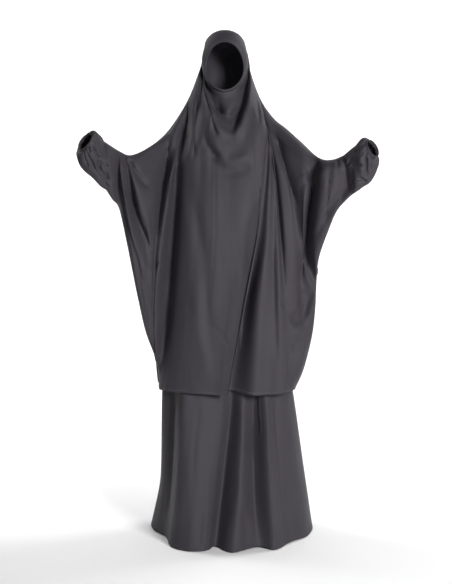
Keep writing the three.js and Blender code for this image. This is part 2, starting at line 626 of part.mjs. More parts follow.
// Top: front and back panels, with the sleeve seams at their two ends
const depthAxis = new THREE.Vector3(0, 1, 0);
const leftArm = new THREE.Vector3(-1, -0.5, 0).normalize();
const rightArm = new THREE.Vector3(1, -0.5, 0).normalize();

function panelGrid(isFront) {
  const rows = isFront ? frontRows : backRows;
  const grid = [];
  for (let r = 0; r <= rows; r += 1) {
    const v = 1 - (1 - (r / rows) ** topCrowding) ** endCrowding;
    grid.push(lines.map((line, i) => panelPlace(i, v, isFront)));
  }
  return grid;
}

// Normal of the sleeve seam loop at a point, away from the arm
function seamNormal(along, arm, centre, point) {
  const normal = along.clone().cross(arm).normalize();
  const out = point.clone().sub(centre);
  return normal.dot(out) < 0 ? normal.negate() : normal;
}

// Normal of the head at a point of the band's outer edge
const headCentre = new THREE.Vector3(hoodMiddle, 8, -120);
const headHalf = new THREE.Vector3(78, 105, 122);
function headNormal(point) {
  const out = point.clone().sub(headCentre);
  return out.divide(headHalf).divide(headHalf).normalize();
}

function setSeams(grid, normals, isFront) {
  const rows = grid.length - 1;
  const towards = isFront ? -1 : 1;
  const last = lines.length - 1;
  const original = grid.map((row) => row.map((p) => p.clone()));
  const edgeNormal = (before, after, point) => {
    const normal = after.clone().sub(before).cross(depthAxis).normalize();
    const out = point.clone().sub(new THREE.Vector3(0, point.y, -600));
    return normal.dot(out) < 0 ? normal.negate() : normal;
  };
  for (let i = 0; i <= last; i += 1) {
    const before = Math.max(0, i - 1);
    const after = Math.min(last, i + 1);
    const onRidge = lines[i].top <= crownStart || lines[i].top >= crownEnd;
    const onSide = lines[i].end <= hemStart || lines[i].end >= hemEnd;
    if (onRidge) {
      const ridge = (k) => vector(topEdge(lines[k].top, false));
      normals[0][i] = edgeNormal(ridge(before), ridge(after), original[0][i]);
      grid[0][i].y += towards * seamGap / 2;
    }
    if (onSide) {
      const side = (k) => vector(endEdge(lines[k].end, true));
      normals[rows][i] = edgeNormal(side(before), side(after), original[rows][i]);
      grid[rows][i].y += towards * seamGap / 2;
    }
    if (!onRidge || lines[i].top === crownStart || lines[i].top === crownEnd) {
      const seam = bandSeam(grid[0][i], isFront ? bandEdgeTangent(lines[i].top) : crownTangent(lines[i].top));
      normals[0][i] = seam.normal;
      grid[0][i].addScaledVector(seam.away, seamGap / 2);
    }
  }
  for (const [column, arm] of [[0, leftArm], [last, rightArm]]) {
    const centre = original[0][column].clone().add(original[rows][column]).multiplyScalar(0.5);
    for (let r = 0; r <= rows; r += 1) {
      const ends = r === 0 || r === rows;
      const along = ends ? depthAxis : original[r + 1][column].clone().sub(original[r - 1][column]);
      normals[r][column] = seamNormal(along, arm, centre, original[r][column]);
      grid[r][column].addScaledVector(arm, -seamGap / 2);
    }
  }
}

function bandEdgeTangent(station) {
  const step = 0.05;
  const from = Math.max(crownStart, station - step);
  const to = Math.min(crownEnd, station + step);
  return vector(rowAt(bandEdge, to - crownStart)).sub(vector(rowAt(bandEdge, from - crownStart)));
}

function crownTangent(station) {
  const step = 0.05;
  const at = (s) => vector(crownArc((s - crownStart) / (crownEnd - crownStart)));
  return at(Math.min(crownEnd, station + step)).sub(at(Math.max(crownStart, station - step)));
}

// At the band's seam: the shared normal, and the way from the band towards the panel
const faceCentre = new THREE.Vector3(hoodMiddle, -80, openingMiddleHeight);
function bandSeam(point, tangent) {
  const normal = headNormal(point);
  const away = tangent.clone().cross(normal).normalize();
  if (away.dot(point.clone().sub(faceCentre)) < 0) away.negate();
  return { normal, away };
}

function panel(isFront) {
  const grid = panelGrid(isFront);
  const normals = gridNormals(grid, false, isFront ? -1 : 1);
  setSeams(grid, normals, isFront);
  return { grid, geometry: clothWall(grid, normals, false, wall) };
}

// Face band: wide over the forehead, a narrow casing at the cheeks and under the chin
function openingPlace(angle) {
  const side = Math.sin(angle);
  const up = Math.cos(angle);
  const chinNarrow = up < 0 ? 1 - 0.08 * up * up : 1;
  return new THREE.Vector3(
    hoodMiddle + openingHalfWidth * side * chinNarrow,
    mix(openingFrontDepth, openingSideDepth, Math.abs(side) ** 3),
    openingMiddleHeight + openingHalfHeight * up,
  );
}

function bandOuterPlace(part) {
  if (part < 0.5) return vector(crownArc(part * 2));
  return vector(rowAt(bandEdge, (crownEnd - crownStart) * (2 - 2 * part)));
}

// Parts of the way round the band at which the panels have their lines
function bandParts() {
  const stations = lines.map((line) => line.top).filter((top) => top >= crownStart && top <= crownEnd);
  const span = crownEnd - crownStart;
  const over = stations.map((s) => (s - crownStart) / span / 2);
  const under = stations.slice(1, -1).reverse().map((s) => 1 - (s - crownStart) / span / 2);
  return [...over, ...under];
}

function faceBand() {
  const parts = bandParts();
  const grid = [];
  const span = crownEnd - crownStart;
  for (let r = 0; r <= bandRows; r += 1) {
    const t = r / bandRows;
    grid.push(parts.map((part) => {
      const outer = bandOuterPlace(part);
      const angle = Math.atan2((outer.x - hoodMiddle) / openingHalfWidth,
        (outer.z - openingMiddleHeight) / openingHalfHeight);
      const inner = openingPlace(angle);
      const place = outer.clone().lerp(inner, t);
      const bulge = Math.sin(Math.PI * t) * bandBulge * outer.distanceTo(inner);
      return place.addScaledVector(headNormal(place), bulge);
    }));
  }
  const normals = gridNormals(grid, true, 1);
  parts.forEach((part, c) => {
    const station = part <= 0.5 ? crownStart + 2 * part * span : crownStart + span * (2 - 2 * part);
    const tangent = part <= 0.5 ? crownTangent(station) : bandEdgeTangent(station);
    const seam = bandSeam(grid[0][c], tangent);
    normals[0][c] = seam.normal;
    grid[0][c].addScaledVector(seam.away, -seamGap);
    normals[bandRows][c] = headNormal(grid[bandRows][c]);
  });
  return clothWall(grid, outwardFrom(normals, grid, headCentre), true, wall);
}

// Turns normals that point at the centre round
function outwardFrom(normals, grid, centre) {
  return normals.map((row, r) => row.map((normal, c) => {
    const out = grid[r][c].clone().sub(centre);
    return normal.dot(out) < 0 ? normal.negate() : normal;
  }));
}

// Sleeves: the first ring is the seam loop of the two panels, the last one carries the cuff
function ringFrame(row) {
  const top = new THREE.Vector3(row.top[0], row.y, row.top[1]);
  const bottom = new THREE.Vector3(row.bottom[0], row.y, row.bottom[1]);
  const up = top.clone().sub(bottom).multiplyScalar(0.5);
  const side = Math.sign(row.top[0]);
  const turn = -THREE.MathUtils.degToRad(row.turn) * side;
  const depth = depthAxis.clone().applyAxisAngle(up.clone().normalize(), turn).multiplyScalar(row.half);
  const axis = up.clone().cross(depth).normalize();
  if (axis.x * side < 0) axis.negate();
  return { centre: top.add(bottom).multiplyScalar(0.5), up, depth, axis };
}

function ringPoint(frame, angle, swell) {
  return frame.centre.clone()
    .addScaledVector(frame.up, Math.cos(angle) * swell)
    .addScaledVector(frame.depth, -Math.sin(angle) * swell);
}

function sleeve(front, back, rows, column, arm) {
  const loop = [];
  const angles = [];
  const seamColumn = (grid) => grid.map((row) => row[column].clone().addScaledVector(arm, seamGap));
  const frontColumn = seamColumn(front);
  const backColumn = seamColumn(back);
  const dropAngle = (r, count) => Math.PI * (r / count) ** 1.15;
  const join = (a, b) => a.clone().add(b).multiplyScalar(0.5);
  for (let r = 0; r <= frontRows; r += 1) {
    if (r === 0) loop.push(join(frontColumn[0], backColumn[0]));
    else if (r === frontRows) loop.push(join(frontColumn[frontRows], backColumn[backRows]));
    else loop.push(frontColumn[r]);
    angles.push(dropAngle(r, frontRows));
  }
  for (let r = backRows - 1; r > 0; r -= 1) {
    loop.push(backColumn[r]);
    angles.push(2 * Math.PI - dropAngle(r, backRows));
  }
  const grid = [loop];
  rows.forEach((row, k) => {
    const frame = ringFrame(row);
    const near = (k + 1) / rows.length;
    const gathered = (cuffGatherDepth * near ** 3) / row.half;
    grid.push(angles.map((angle) => ringPoint(frame, angle, 1 + gathered * Math.cos(cuffGathers * angle))));
  });
  const centres = [loop.reduce((sum, p) => sum.add(p), new THREE.Vector3()).divideScalar(loop.length),
    ...rows.map((row) => ringFrame(row).centre)];
  const raw = gridNormals(grid, true, 1);
  const normals = raw.map((row, r) => outwardFrom([row], [grid[r]], centres[r])[0]);
  const lastFrame = ringFrame(rows[rows.length - 1]);
  loop.forEach((point, c) => {
    const ends = c === 0 || c === frontRows;
    const along = ends ? depthAxis : loop[(c + 1) % loop.length].clone().sub(loop[c - 1]);
    normals[0][c] = seamNormal(along, arm, centres[0], point);
    const flat = normals[rows.length][c].projectOnPlane(lastFrame.axis).normalize();
    normals[rows.length][c] = flat;
  });
  return clothWall(grid, normals, true, wall);
}

// Cuffs: a flat elastic casing beyond the gathers
const cuffPoints = 28;
function cuff(rows) {
  const frame = ringFrame(rows[rows.length - 1]);
  const grid = [0, 0.25, 0.75, 1].map((t) => {
    const bulge = t > 0 && t < 1 ? 0 : -1;
    const ring = [];
    for (let c = 0; c < cuffPoints; c += 1) {
      const angle = (2 * Math.PI * c) / cuffPoints;
      const point = ringPoint(frame, angle, 1 + bulge / frame.depth.length());
      ring.push(point.addScaledVector(frame.axis, seamGap + t * cuffWidth));
    }
    return ring;
  });
  const normals = grid.map((row) => row.map((point) => {
    const out = point.clone().sub(frame.centre).projectOnPlane(frame.axis);
    return out.normalize();
  }));
  return clothWall(grid, normals, true, cuffThickness);
}

// Skirt
function waistPlace(angle, spread) {
  return {
    x: -(waistHalfWidth + spread) * Math.cos(angle),
    y: waistMiddleDepth - (waistHalfDepth + spread) * Math.sin(angle),
  };
}

const skirtStations = [0, 0.53, 0.82, 1];
function skirtPlace(i, v) {
  const count = skirtLines.length;
  const around = (pick) => {
    const at = ((i % count) + count) % count;
    const base = Math.floor(at);
    const near = [-1, 0, 1, 2].map((k) => pick(skirtLines[(base + k + count) % count]));
    return throughEven(near, 1 + at - base);
  };
  const frontShare = rightSeamLine;
  const angle = i <= frontShare ? (Math.PI * i) / frontShare
    : Math.PI + (Math.PI * (i - frontShare)) / (count - frontShare);
  const waist = waistPlace(angle, 0);
  const low = around((row) => row.low);
  const heights = [waistHeight, kneeHeight, shinHeight, low];
  const z = throughStations(skirtStations, heights, v);
  const place = (k) => throughStations(skirtStations, [k === 0 ? waist.x : waist.y,
    around((row) => row.knee[k]), around((row) => row.shin[k]), around((row) => row.hem[k])], v);
  return new THREE.Vector3(place(0), place(1), v === 0 ? waistHeight : z);
}

function skirtPanel(from, to, towards) {
  const columns = (to - from) * columnsPerSkirtLine;
  const grid = [];
  for (let r = 0; r <= skirtRows; r += 1) {
    const row = [];
    for (let c = 0; c <= columns; c += 1) row.push(skirtPlace(mix(from, to, c / columns), r / skirtRows));
    grid.push(row);
  }
  const centre = new THREE.Vector3(0, waistMiddleDepth, 0);
  const normals = gridNormals(grid, false, 1).map((row, r) => row.map((normal, c) => {
    const out = grid[r][c].clone().sub(centre);
    out.z = 0;
    const turned = normal.dot(out) < 0 ? normal.negate() : normal;
    if (r === 0) turned.setZ(0).normalize();
    if (c === 0 || c === columns) turned.setY(0).normalize();
    return turned;
  }));
  for (const row of grid) {
    row[0].y += towards * seamGap / 2;
    row[columns].y += towards * seamGap / 2;
  }
  return clothWall(grid, normals, false, wall);
}

function waistband() {
  const around = 48;
  const grid = [0, 0.2, 0.8, 1].map((t) => {
    const bulge = t > 0 && t < 1 ? 1 : 0;
    const ring = [];
    for (let c = 0; c < around; c += 1) {
      const place = waistPlace((2 * Math.PI * c) / around, bulge);
      ring.push(new THREE.Vector3(place.x, place.y, waistHeight + seamGap + t * waistbandHeight));
    }
    return ring;
  });
  const centre = new THREE.Vector3(0, waistMiddleDepth, 0);
  const normals = grid.map((row) => row.map((point) => point.clone().sub(centre).setZ(0).normalize()));
  return clothWall(grid, normals, true, waistbandThickness);
}

// The whole garment
const jilbab = new THREE.Group();
jilbab.name = 'two_piece_jilbab';

function addPiece(name, geometry, roughness) {
  const cloth = new THREE.MeshStandardMaterial({ color: clothColour, roughness, metalness: 0 });
  const mesh = new THREE.Mesh(geometry, cloth);
  mesh.name = name;
  jilbab.add(mesh);
}

const frontPanel = panel(true);
const backPanel = panel(false);
const lastLine = lines.length - 1;
addPiece('jilbab_front', frontPanel.geometry, 0.7);
addPiece('jilbab_back', backPanel.geometry, 0.7);
addPiece('face_band', faceBand(), 0.65);
addPiece('sleeve_left', sleeve(frontPanel.grid, backPanel.grid, leftSleeve, 0, leftArm), 0.7);
addPiece('sleeve_right', sleeve(frontPanel.grid, backPanel.grid, rightSleeve, lastLine, rightArm), 0.7);
addPiece('cuff_left', cuff(leftSleeve), 0.75);
addPiece('cuff_right', cuff(rightSleeve), 0.75);
addPiece('skirt_front', skirtPanel(0, rightSeamLine, -1), 0.7);
addPiece('skirt_back', skirtPanel(rightSeamLine, skirtLines.length, 1), 0.7);
addPiece('skirt_waistband', waistband(), 0.75);

export default jilbab;
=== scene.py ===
# Two-piece jilbab, worn open-armed: cloth, seams, folds, materials, light and camera for the CAD frame.
# The tables are in millimetres and the meshes in metres. +Z up, the garment faces -Y.
import math

import bpy
import numpy as np
from mathutils import Euler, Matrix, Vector, noise


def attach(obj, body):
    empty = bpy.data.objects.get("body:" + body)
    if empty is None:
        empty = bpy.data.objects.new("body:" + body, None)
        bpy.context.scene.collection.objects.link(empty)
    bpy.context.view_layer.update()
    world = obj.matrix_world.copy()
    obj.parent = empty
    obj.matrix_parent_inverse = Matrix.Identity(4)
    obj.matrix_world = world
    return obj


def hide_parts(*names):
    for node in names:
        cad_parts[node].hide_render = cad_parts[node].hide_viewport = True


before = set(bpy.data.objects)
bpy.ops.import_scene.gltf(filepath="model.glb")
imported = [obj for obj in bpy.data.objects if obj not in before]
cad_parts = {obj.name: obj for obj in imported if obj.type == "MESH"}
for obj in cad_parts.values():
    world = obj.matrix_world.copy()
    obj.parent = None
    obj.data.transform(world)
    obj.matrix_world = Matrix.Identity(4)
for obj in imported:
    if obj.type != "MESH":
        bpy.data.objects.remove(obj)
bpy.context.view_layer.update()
mm = 0.001

# Camera, light and floor
view = {
    "distance": 3.357,  # metres in front of the garment
    "height": -0.772,
    "tilt": 2.04,  # degrees down
    "lens": 59.95,
    "sensor": 36,  # mm, its long side
}
studio = {
    "key": {"place": (1.6, -3.1, -0.1), "aim": (0.0, 0.0, -0.75), "size": 0.9, "power": 138},
    "fill": {"place": (-0.6, -3.8, 0.2), "aim": (0.0, 0.0, -0.8), "size": 1.6, "power": 7},
    "backdropLeft": {"place": (-2.2, 1.4, 1.6), "aim": (-0.6, 3.2, -0.6), "size": 1.6, "power": 108},
    "backdropRight": {"place": (2.2, 1.4, 1.6), "aim": (0.6, 3.2, -0.6), "size": 1.6, "power": 108},
    "air": 0.06,  # strength of the pale surroundings
    "floorHeight": -1.7245, "floorFront": -6.0, "floorHalfWidth": 7.0,
    "backdropBend": 2.6,  # metres behind the garment, where the floor sweeps up
    "bendRadius": 1.2, "bendSteps": 12, "backdropTop": 4.5,
}


def hexToLinear(text):
    parts = [int(text[k : k + 2], 16) / 255 for k in (1, 3, 5)]
    return tuple(p / 12.92 if p <= 0.04045 else ((p + 0.055) / 1.055) ** 2.4 for p in parts) + (1.0,)


def addNode(tree, kind, settings=None, links=None):
    node = tree.nodes.new(kind)
    for key, value in (settings or {}).items():
        if isinstance(key, str) and hasattr(node, key):
            setattr(node, key, value)
        else:
            node.inputs[key].default_value = value
    for key, (source, output) in (links or {}).items():
        tree.links.new(source.outputs[output], node.inputs[key])
    return node


def newMaterial(name):
    material = bpy.data.materials.new(name)
    material.use_nodes = True
    material.node_tree.nodes.clear()
    return material, material.node_tree


def aimed(place, aim):
    return (Vector(aim) - Vector(place)).to_track_quat("-Z", "Y").to_euler()


cameraData = bpy.data.cameras.new("studio_camera")
cameraData.lens = view["lens"]
cameraData.sensor_width = view["sensor"]
cameraData.sensor_fit = "AUTO"
camera = bpy.data.objects.new("studio_camera", cameraData)
camera.location = (0, -view["distance"], view["height"])
camera.rotation_euler = Euler((math.radians(90 - view["tilt"]), 0, 0))
bpy.context.scene.collection.objects.link(camera)
bpy.context.scene.camera = camera

for name in ("key", "fill", "backdropLeft", "backdropRight"):
    facts = studio[name]
    lamp = bpy.data.lights.new(name, "AREA")
    lamp.size = facts["size"]
    lamp.energy = facts["power"]
    lampObject = bpy.data.objects.new(name, lamp)
    lampObject.location = facts["place"]
    lampObject.rotation_euler = aimed(facts["place"], facts["aim"])
    bpy.context.scene.collection.objects.link(lampObject)

world = bpy.data.worlds.new("pale_studio_air")
world.use_nodes = True
world.node_tree.nodes.clear()
air = addNode(world.node_tree, "ShaderNodeBackground",
              {"Color": hexToLinear("#ffffff"), "Strength": studio["air"]})
addNode(world.node_tree, "ShaderNodeOutputWorld", links={"Surface": (air, "Background")})
bpy.context.scene.world = world
bpy.context.scene.view_settings.view_transform = "Standard"


def studioFloor():
    # painted plywood sweep, rolled matt: an even pale ground with a faint cloudiness
    floorMaterial, tree = newMaterial("matt_painted_floor")
    cloudy = addNode(tree, "ShaderNodeTexNoise", {"Scale": 1.4, "Detail": 2.0})
    tone = addNode(tree, "ShaderNodeValToRGB", links={"Fac": (cloudy, "Fac")})
    tone.color_ramp.elements[0].color = hexToLinear("#f1f1f1")
    tone.color_ramp.elements[1].color = hexToLinear("#f6f6f6")
    shader = addNode(tree, "ShaderNodeBsdfPrincipled", {"Roughness": 0.9, "IOR": 1.5},
                     {"Base Color": (tone, "Color")})
    addNode(tree, "ShaderNodeOutputMaterial", links={"Surface": (shader, "BSDF")})
    low, bend, radius = studio["floorHeight"], studio["backdropBend"], studio["bendRadius"]
    profile = [(studio["floorFront"], low), (bend, low)]
    for k in range(1, studio["bendSteps"] + 1):
        turn = math.radians(90 * k / studio["bendSteps"])
        profile.append((bend + radius * math.sin(turn), low + radius * (1 - math.cos(turn))))
    profile.append((bend + radius, studio["backdropTop"]))
    points = [(side * studio["floorHalfWidth"], y, z) for y, z in profile for side in (-1, 1)]
    faces = [(2 * k, 2 * k + 1, 2 * k + 3, 2 * k + 2) for k in range(len(profile) - 1)]
    mesh = bpy.data.meshes.new("studio_floor")
    mesh.from_pydata(points, [], faces)
    mesh.shade_smooth()
    mesh.materials.append(floorMaterial)
    floor = bpy.data.objects.new("studio_floor", mesh)
    bpy.context.scene.collection.objects.link(floor)


studioFloor()
print("camera, lights and floor set")

# Cloth
crepe = {
    "colour": "#373439",
    "paler": "#3c393f",
    "threadSpacing": 1.1,  # mm; a real crepe has 0.25, too fine to show, so it is drawn coarser
    "grain": 2.4,  # mm, the pebbled grain, also drawn coarser than the real one
    "crinkle": 26,  # mm between the soft dents of worn cloth
    "gather": 4.5,  # mm between the short gathers over elastic
    "hemStitch": 3.2,  # mm, length of a stitch with its gap
    "thread": "#5d5c61",
    "roughest": 0.7, "smoothest": 0.55,
    "bloom": 0.03, "gloss": 0.14,
}
waveScale = 0.314  # a wave texture of this scale repeats once a metre


def addCrepe(name, puckers):
    # Woven polyester crepe, piece-dyed: hard-twisted yarns give a dry matt face with a faint pebbled grain
    # and a thin bloom at grazing angles.
    material, tree = newMaterial(name)
    place = addNode(tree, "ShaderNodeUVMap", {"uv_map": "cut"})
    laidFlat = {"Vector": (place, "UV")}
    spacing = crepe["threadSpacing"] * mm
    yarn = {"Scale": waveScale / spacing, "Distortion": 1.2, "Detail Scale": 3.0}
    warp = addNode(tree, "ShaderNodeTexWave", {"bands_direction": "X", **yarn}, laidFlat)
    weft = addNode(tree, "ShaderNodeTexWave", {"bands_direction": "Y", **yarn}, laidFlat)
    weave = addNode(tree, "ShaderNodeMath", {"operation": "MAXIMUM"}, {0: (warp, "Fac"), 1: (weft, "Fac")})
    grain = addNode(tree, "ShaderNodeTexNoise", {"Scale": 1 / (crepe["grain"] * mm), "Detail": 3.0}, laidFlat)
    face = addNode(tree, "ShaderNodeMath", {"operation": "ADD"}, {0: (weave, 0), 1: (grain, "Fac")})
    longWay = addNode(tree, "ShaderNodeMapping", {"Scale": (1.0, 0.45, 1.0)}, laidFlat)
    dents = addNode(tree, "ShaderNodeTexNoise",
                    {"Scale": 1 / (crepe["crinkle"] * mm), "Detail": 4.0, "Roughness": 0.55},
                    {"Vector": (longWay, "Vector")})
    dentBump = addNode(tree, "ShaderNodeBump", {"Strength": 0.25, "Distance": 2.0 * mm},
                       {"Height": (dents, "Fac")})
    faceBump = addNode(tree, "ShaderNodeBump", {"Strength": 0.3, "Distance": 0.25 * mm},
                       {"Height": (face, 0), "Normal": (dentBump, "Normal")})
    last = faceBump
    if puckers:
        # elastic casing: short gathers that run across the band
        gathers = addNode(tree, "ShaderNodeTexWave",
                          {"bands_direction": "X", "Scale": waveScale / (crepe["gather"] * mm),
                           "Distortion": 2.5, "Detail Scale": 1.2}, laidFlat)
        last = addNode(tree, "ShaderNodeBump", {"Strength": 0.5, "Distance": 1.0 * mm},
                       {"Height": (gathers, "Fac"), "Normal": (faceBump, "Normal")})
    # stitched line: short dents along the row, and the thread a shade paler than the cloth
    line = addNode(tree, "ShaderNodeAttribute", {"attribute_name": "stitchRow"})
    along = addNode(tree, "ShaderNodeAttribute", {"attribute_name": "stitchAlong"})
    near = addNode(tree, "ShaderNodeMapRange",
                   {"From Min": 0.35 * mm, "From Max": 0.9 * mm, "To Min": 1.0, "To Max": 0.0},
                   {"Value": (line, "Fac")})
    pace = 2 * math.pi / (crepe["hemStitch"] * mm)
    beat = addNode(tree, "ShaderNodeMath", {"operation": "MULTIPLY", 1: pace}, {0: (along, "Fac")})
    wave = addNode(tree, "ShaderNodeMath", {"operation": "SINE"}, {0: (beat, 0)})
    dash = addNode(tree, "ShaderNodeMapRange", {"From Min": -0.5, "From Max": -0.2}, {"Value": (wave, 0)})
    stitch = addNode(tree, "ShaderNodeMath", {"operation": "MULTIPLY"},
                     {0: (near, "Result"), 1: (dash, "Result")})
    groove = addNode(tree, "ShaderNodeMapRange",
                     {"From Min": 0.4 * mm, "From Max": 2.6 * mm, "To Min": 0.0, "To Max": 1.0},
                     {"Value": (line, "Fac")})
    raised = addNode(tree, "ShaderNodeMath", {"operation": "MULTIPLY_ADD", 1: 0.5},
                     {0: (stitch, 0), 2: (groove, "Result")})
    stitched = addNode(tree, "ShaderNodeBump", {"Strength": 0.7, "Distance": 0.9 * mm},
                       {"Height": (raised, 0), "Normal": (last, "Normal")})
    patches = addNode(tree, "ShaderNodeTexNoise", {"Scale": 9.0, "Detail": 3.0}, laidFlat)
    tone = addNode(tree, "ShaderNodeMix",
                   {"data_type": "RGBA", 6: hexToLinear(crepe["colour"]), 7: hexToLinear(crepe["paler"])},
                   {"Factor": (patches, "Fac")})
    fleck = addNode(tree, "ShaderNodeMapRange",
                    {"From Min": 0.35, "From Max": 0.75, "To Min": 0.9, "To Max": 1.08},
                    {"Value": (grain, "Fac")})
    speckled = addNode(tree, "ShaderNodeMix", {"data_type": "RGBA", "blend_type": "MULTIPLY", "Factor": 1.0},
                       {6: (tone, 2), 7: (fleck, "Result")})
    thread = addNode(tree, "ShaderNodeMix", {"data_type": "RGBA", 7: hexToLinear(crepe["thread"])},
                     {"Factor": (stitch, 0), 6: (speckled, 2)})
    rough = addNode(tree, "ShaderNodeMapRange", {"To Min": crepe["smoothest"], "To Max": crepe["roughest"]},
                    {"Value": (grain, "Fac")})
    shader = addNode(tree, "ShaderNodeBsdfPrincipled",
                     {"IOR": 1.54, "Sheen Weight": crepe["bloom"], "Sheen Roughness": 0.4,
                      "Specular IOR Level": crepe["gloss"]},
                     {"Base Color": (thread, 2), "Roughness": (rough, "Result"),
                      "Normal": (stitched, "Normal")})
    addNode(tree, "ShaderNodeOutputMaterial", links={"Surface": (shader, "BSDF")})
    return material


crepeCloth = addCrepe("woven_polyester_crepe", False)
crepeCasing = addCrepe("crepe_over_gathered_elastic", True)
print("cloth made")


# Curves
def mix(a, b, t):
    return a + (b - a) * t


def clamp01(t):
    return np.clip(t, 0, 1)


def quarterRound(t):
    return np.sqrt(1 - (1 - clamp01(t)) ** 2)


def cubicStep(t, span, b, leaving, c, arriving):
    # from b to c over a span, with the slopes given at its ends
    t2, t3 = t * t, t * t * t
    return ((2 * t3 - 3 * t2 + 1) * b + (t3 - 2 * t2 + t) * span * leaving
            + (3 * t2 - 2 * t3) * c + (t3 - t2) * span * arriving)


def throughEven(values, at):
    # smooth curve through values at even steps
    values, at = np.asarray(values, float), np.asarray(at, float)
    last = len(values) - 1
    i = np.clip(np.floor(at).astype(int), 0, last - 1)
    shape = at.shape + (1,) * (values.ndim - 1)
    t = (at - i).reshape(shape)
    b, c = values[i], values[i + 1]
    a = np.where((i > 0).reshape(shape), values[np.maximum(i - 1, 0)], 2 * b - c)
    d = np.where((i < last - 1).reshape(shape), values[np.minimum(i + 2, last)], 2 * c - b)
    return cubicStep(t, 1, b, (c - a) / 2, c, (d - b) / 2)


def throughStations(stations, values, at):
    # smooth curve through values at the stations given, with no overshoot, a column at a time
    stations, values = np.asarray(stations, float), np.asarray(values, float)
    slope = np.diff(values, axis=0) / np.diff(stations)[:, None]
    before, after = slope[:-1], slope[1:]
    turning = before * after <= 0
    total = np.where(turning, 1.0, before + after)
    tangent = np.concatenate([slope[:1], np.where(turning, 0.0, 2 * before * after / total), slope[-1:]])
    i = np.clip(np.searchsorted(stations, at, side="left") - 1, 0, len(stations) - 2)
    column = np.broadcast_to(np.arange(values.shape[1]), at.shape)
    span = stations[i + 1] - stations[i]
    t = (at - stations[i]) / span
    return cubicStep(t, span, values[i, column], tangent[i, column],
                     values[i + 1, column], tangent[i + 1, column])


def unit(vectors):
    return vectors / np.maximum(np.linalg.norm(vectors, axis=-1, keepdims=True), 1e-9)


def besideSegment(x, z, a, b):
    # how far along the segment the nearest place is, how far away, and above 0 on its right-hand side
    dx, dz = b[0] - a[0], b[1] - a[1]
    t = clamp01(((x - a[0]) * dx + (z - a[1]) * dz) / (dx * dx + dz * dz))
    away = np.hypot(x - a[0] - dx * t, z - a[1] - dz * t)
    return t, away, (x - a[0]) * dz - (z - a[1]) * dx


foldShape = {
    "reach": 2.6,  # widths to the side where a fold ends
    "endFade": 2.2, "endStart": 0.04,  # an end keeps an eighth of the push and soon has all of it
    "soft": 2, "crisp": 1.35,  # power of the flank's curve
}


def foldPush(folds, x, z):
    # push of the folds at places on a piece: soft flanks, fading at both ends of each fold
    push = np.zeros_like(x)
    for _, course, deep, left, right, crisp in folds:
        steps = 9 * (len(course) - 1) + 1
        course = throughEven(np.array(course, float), np.linspace(0, len(course) - 1, steps))
        reach = foldShape["reach"] * max(left, right)
        low, high = course.min(0) - reach, course.max(0) + reach
        near = np.nonzero((x > low[0]) & (x < high[0]) & (z > low[1]) & (z < high[1]))
        px, pz = x[near], z[near]
        best = np.full(px.shape, 1e9)
        side, along = np.ones_like(px), np.zeros_like(px)
        for k in range(len(course) - 1):
            t, away, toRight = besideSegment(px, pz, course[k], course[k + 1])
            closer = away < best
            best = np.where(closer, away, best)
            side = np.where(closer, toRight, side)
            along = np.where(closer, (k + t) / (len(course) - 1), along)
        width = np.where(side > 0, left, right)
        fromEnd = foldShape["endFade"] * np.minimum(along, 1 - along) + foldShape["endStart"]
        ends = np.sin(math.pi * np.minimum(0.5, fromEnd))
        power = foldShape["crisp" if crisp else "soft"]
        push[near] += deep * ends * np.exp(-((best / width) ** power))
    return push


def wornUnevenness(points, settings):
    # slow unevenness of hanging cloth; a row says how deep, wide and tall its waves are, and their shift
    out = np.empty(points.shape[:-1])
    for index in np.ndindex(out.shape):
        x, y, z = points[index]
        out[index] = sum(deep * noise.noise(Vector((x / wide + shift, y / wide, z / tall)))
                         for deep, wide, tall, shift in settings)
    return out


# The top's edges and lines
# Top edge of the panels: x, y, z and how far the cloth takes to turn down over it.
ridgeLeft = [
    (-393, -210, -397, 45), (-344, -160, -426, 45), (-310, -120, -432, 45), (-252, -50, -393, 50),
    (-197, 0, -334, 60), (-135, 5, -237, 75), (-97, 5, -144, 85), (-83, 0, -99, 85),
    (-72, -8, -48, 85), (-65, -16, -29, 80),
]
ridgeRight = [
    (57, -16, -29, 80), (68, -8, -52, 85), (76, 0, -97, 85), (93, 5, -161, 85), (124, 5, -237, 75),
    (166, 3, -296, 65), (207, -3, -331, 58), (253, -40, -379, 50), (310, -120, -443, 45),
    (349, -160, -451, 45), (380, -210, -442, 45),
]
# Outer edge of the face band, half of it: out from the middle, y, z.
bandEdgeHalf = [(61, -16, -29), (74, -40, -78), (74, -50, -114), (69, -54, -150), (57, -63, -181),
                (36, -76, -207), (0, -86, -222)]
sideLeft = [
    (-389, -205, -554, 40), (-368, -198, -587, 30), (-349, -188, -613, 28), (-329, -150, -718, 25),
    (-298, -100, -896, 25), (-273, -60, -1023, 28), (-246, -30, -1103, 30), (-236, -15, -1150, 32),
    (-233, 0, -1223, 35),
]
sideRight = [
    (241, 0, -1219, 35), (268, -15, -1153, 30), (294, -38, -1046, 28), (304, -58, -952, 28),
    (306, -80, -862, 28), (311, -108, -774, 28), (341, -158, -675, 28), (359, -190, -626, 28),
    (378, -198, -600, 30), (404, -205, -574, 40),
]
hemFront = [
    (-233, 0, -1223), (-214, -92, -1221), (-180, -130, -1220), (-152, -145, -1220), (-126, -155, -1221),
    (-100, -162, -1222), (-76, -166, -1223), (-56, -168, -1224), (-42, -170, -1225), (-28, -172, -1226),
    (-18, -174, -1226), (-11, -175, -1226), (-5, -176, -1226), (-1, -177, -1226), (2, -177, -1225),
    (5, -176, -1224), (-13, -134, -1216), (22, -116, -1217), (84, -170, -1226), (136, -158, -1226),
    (183, -152, -1224), (214, -112, -1221), (241, 0, -1219),
]
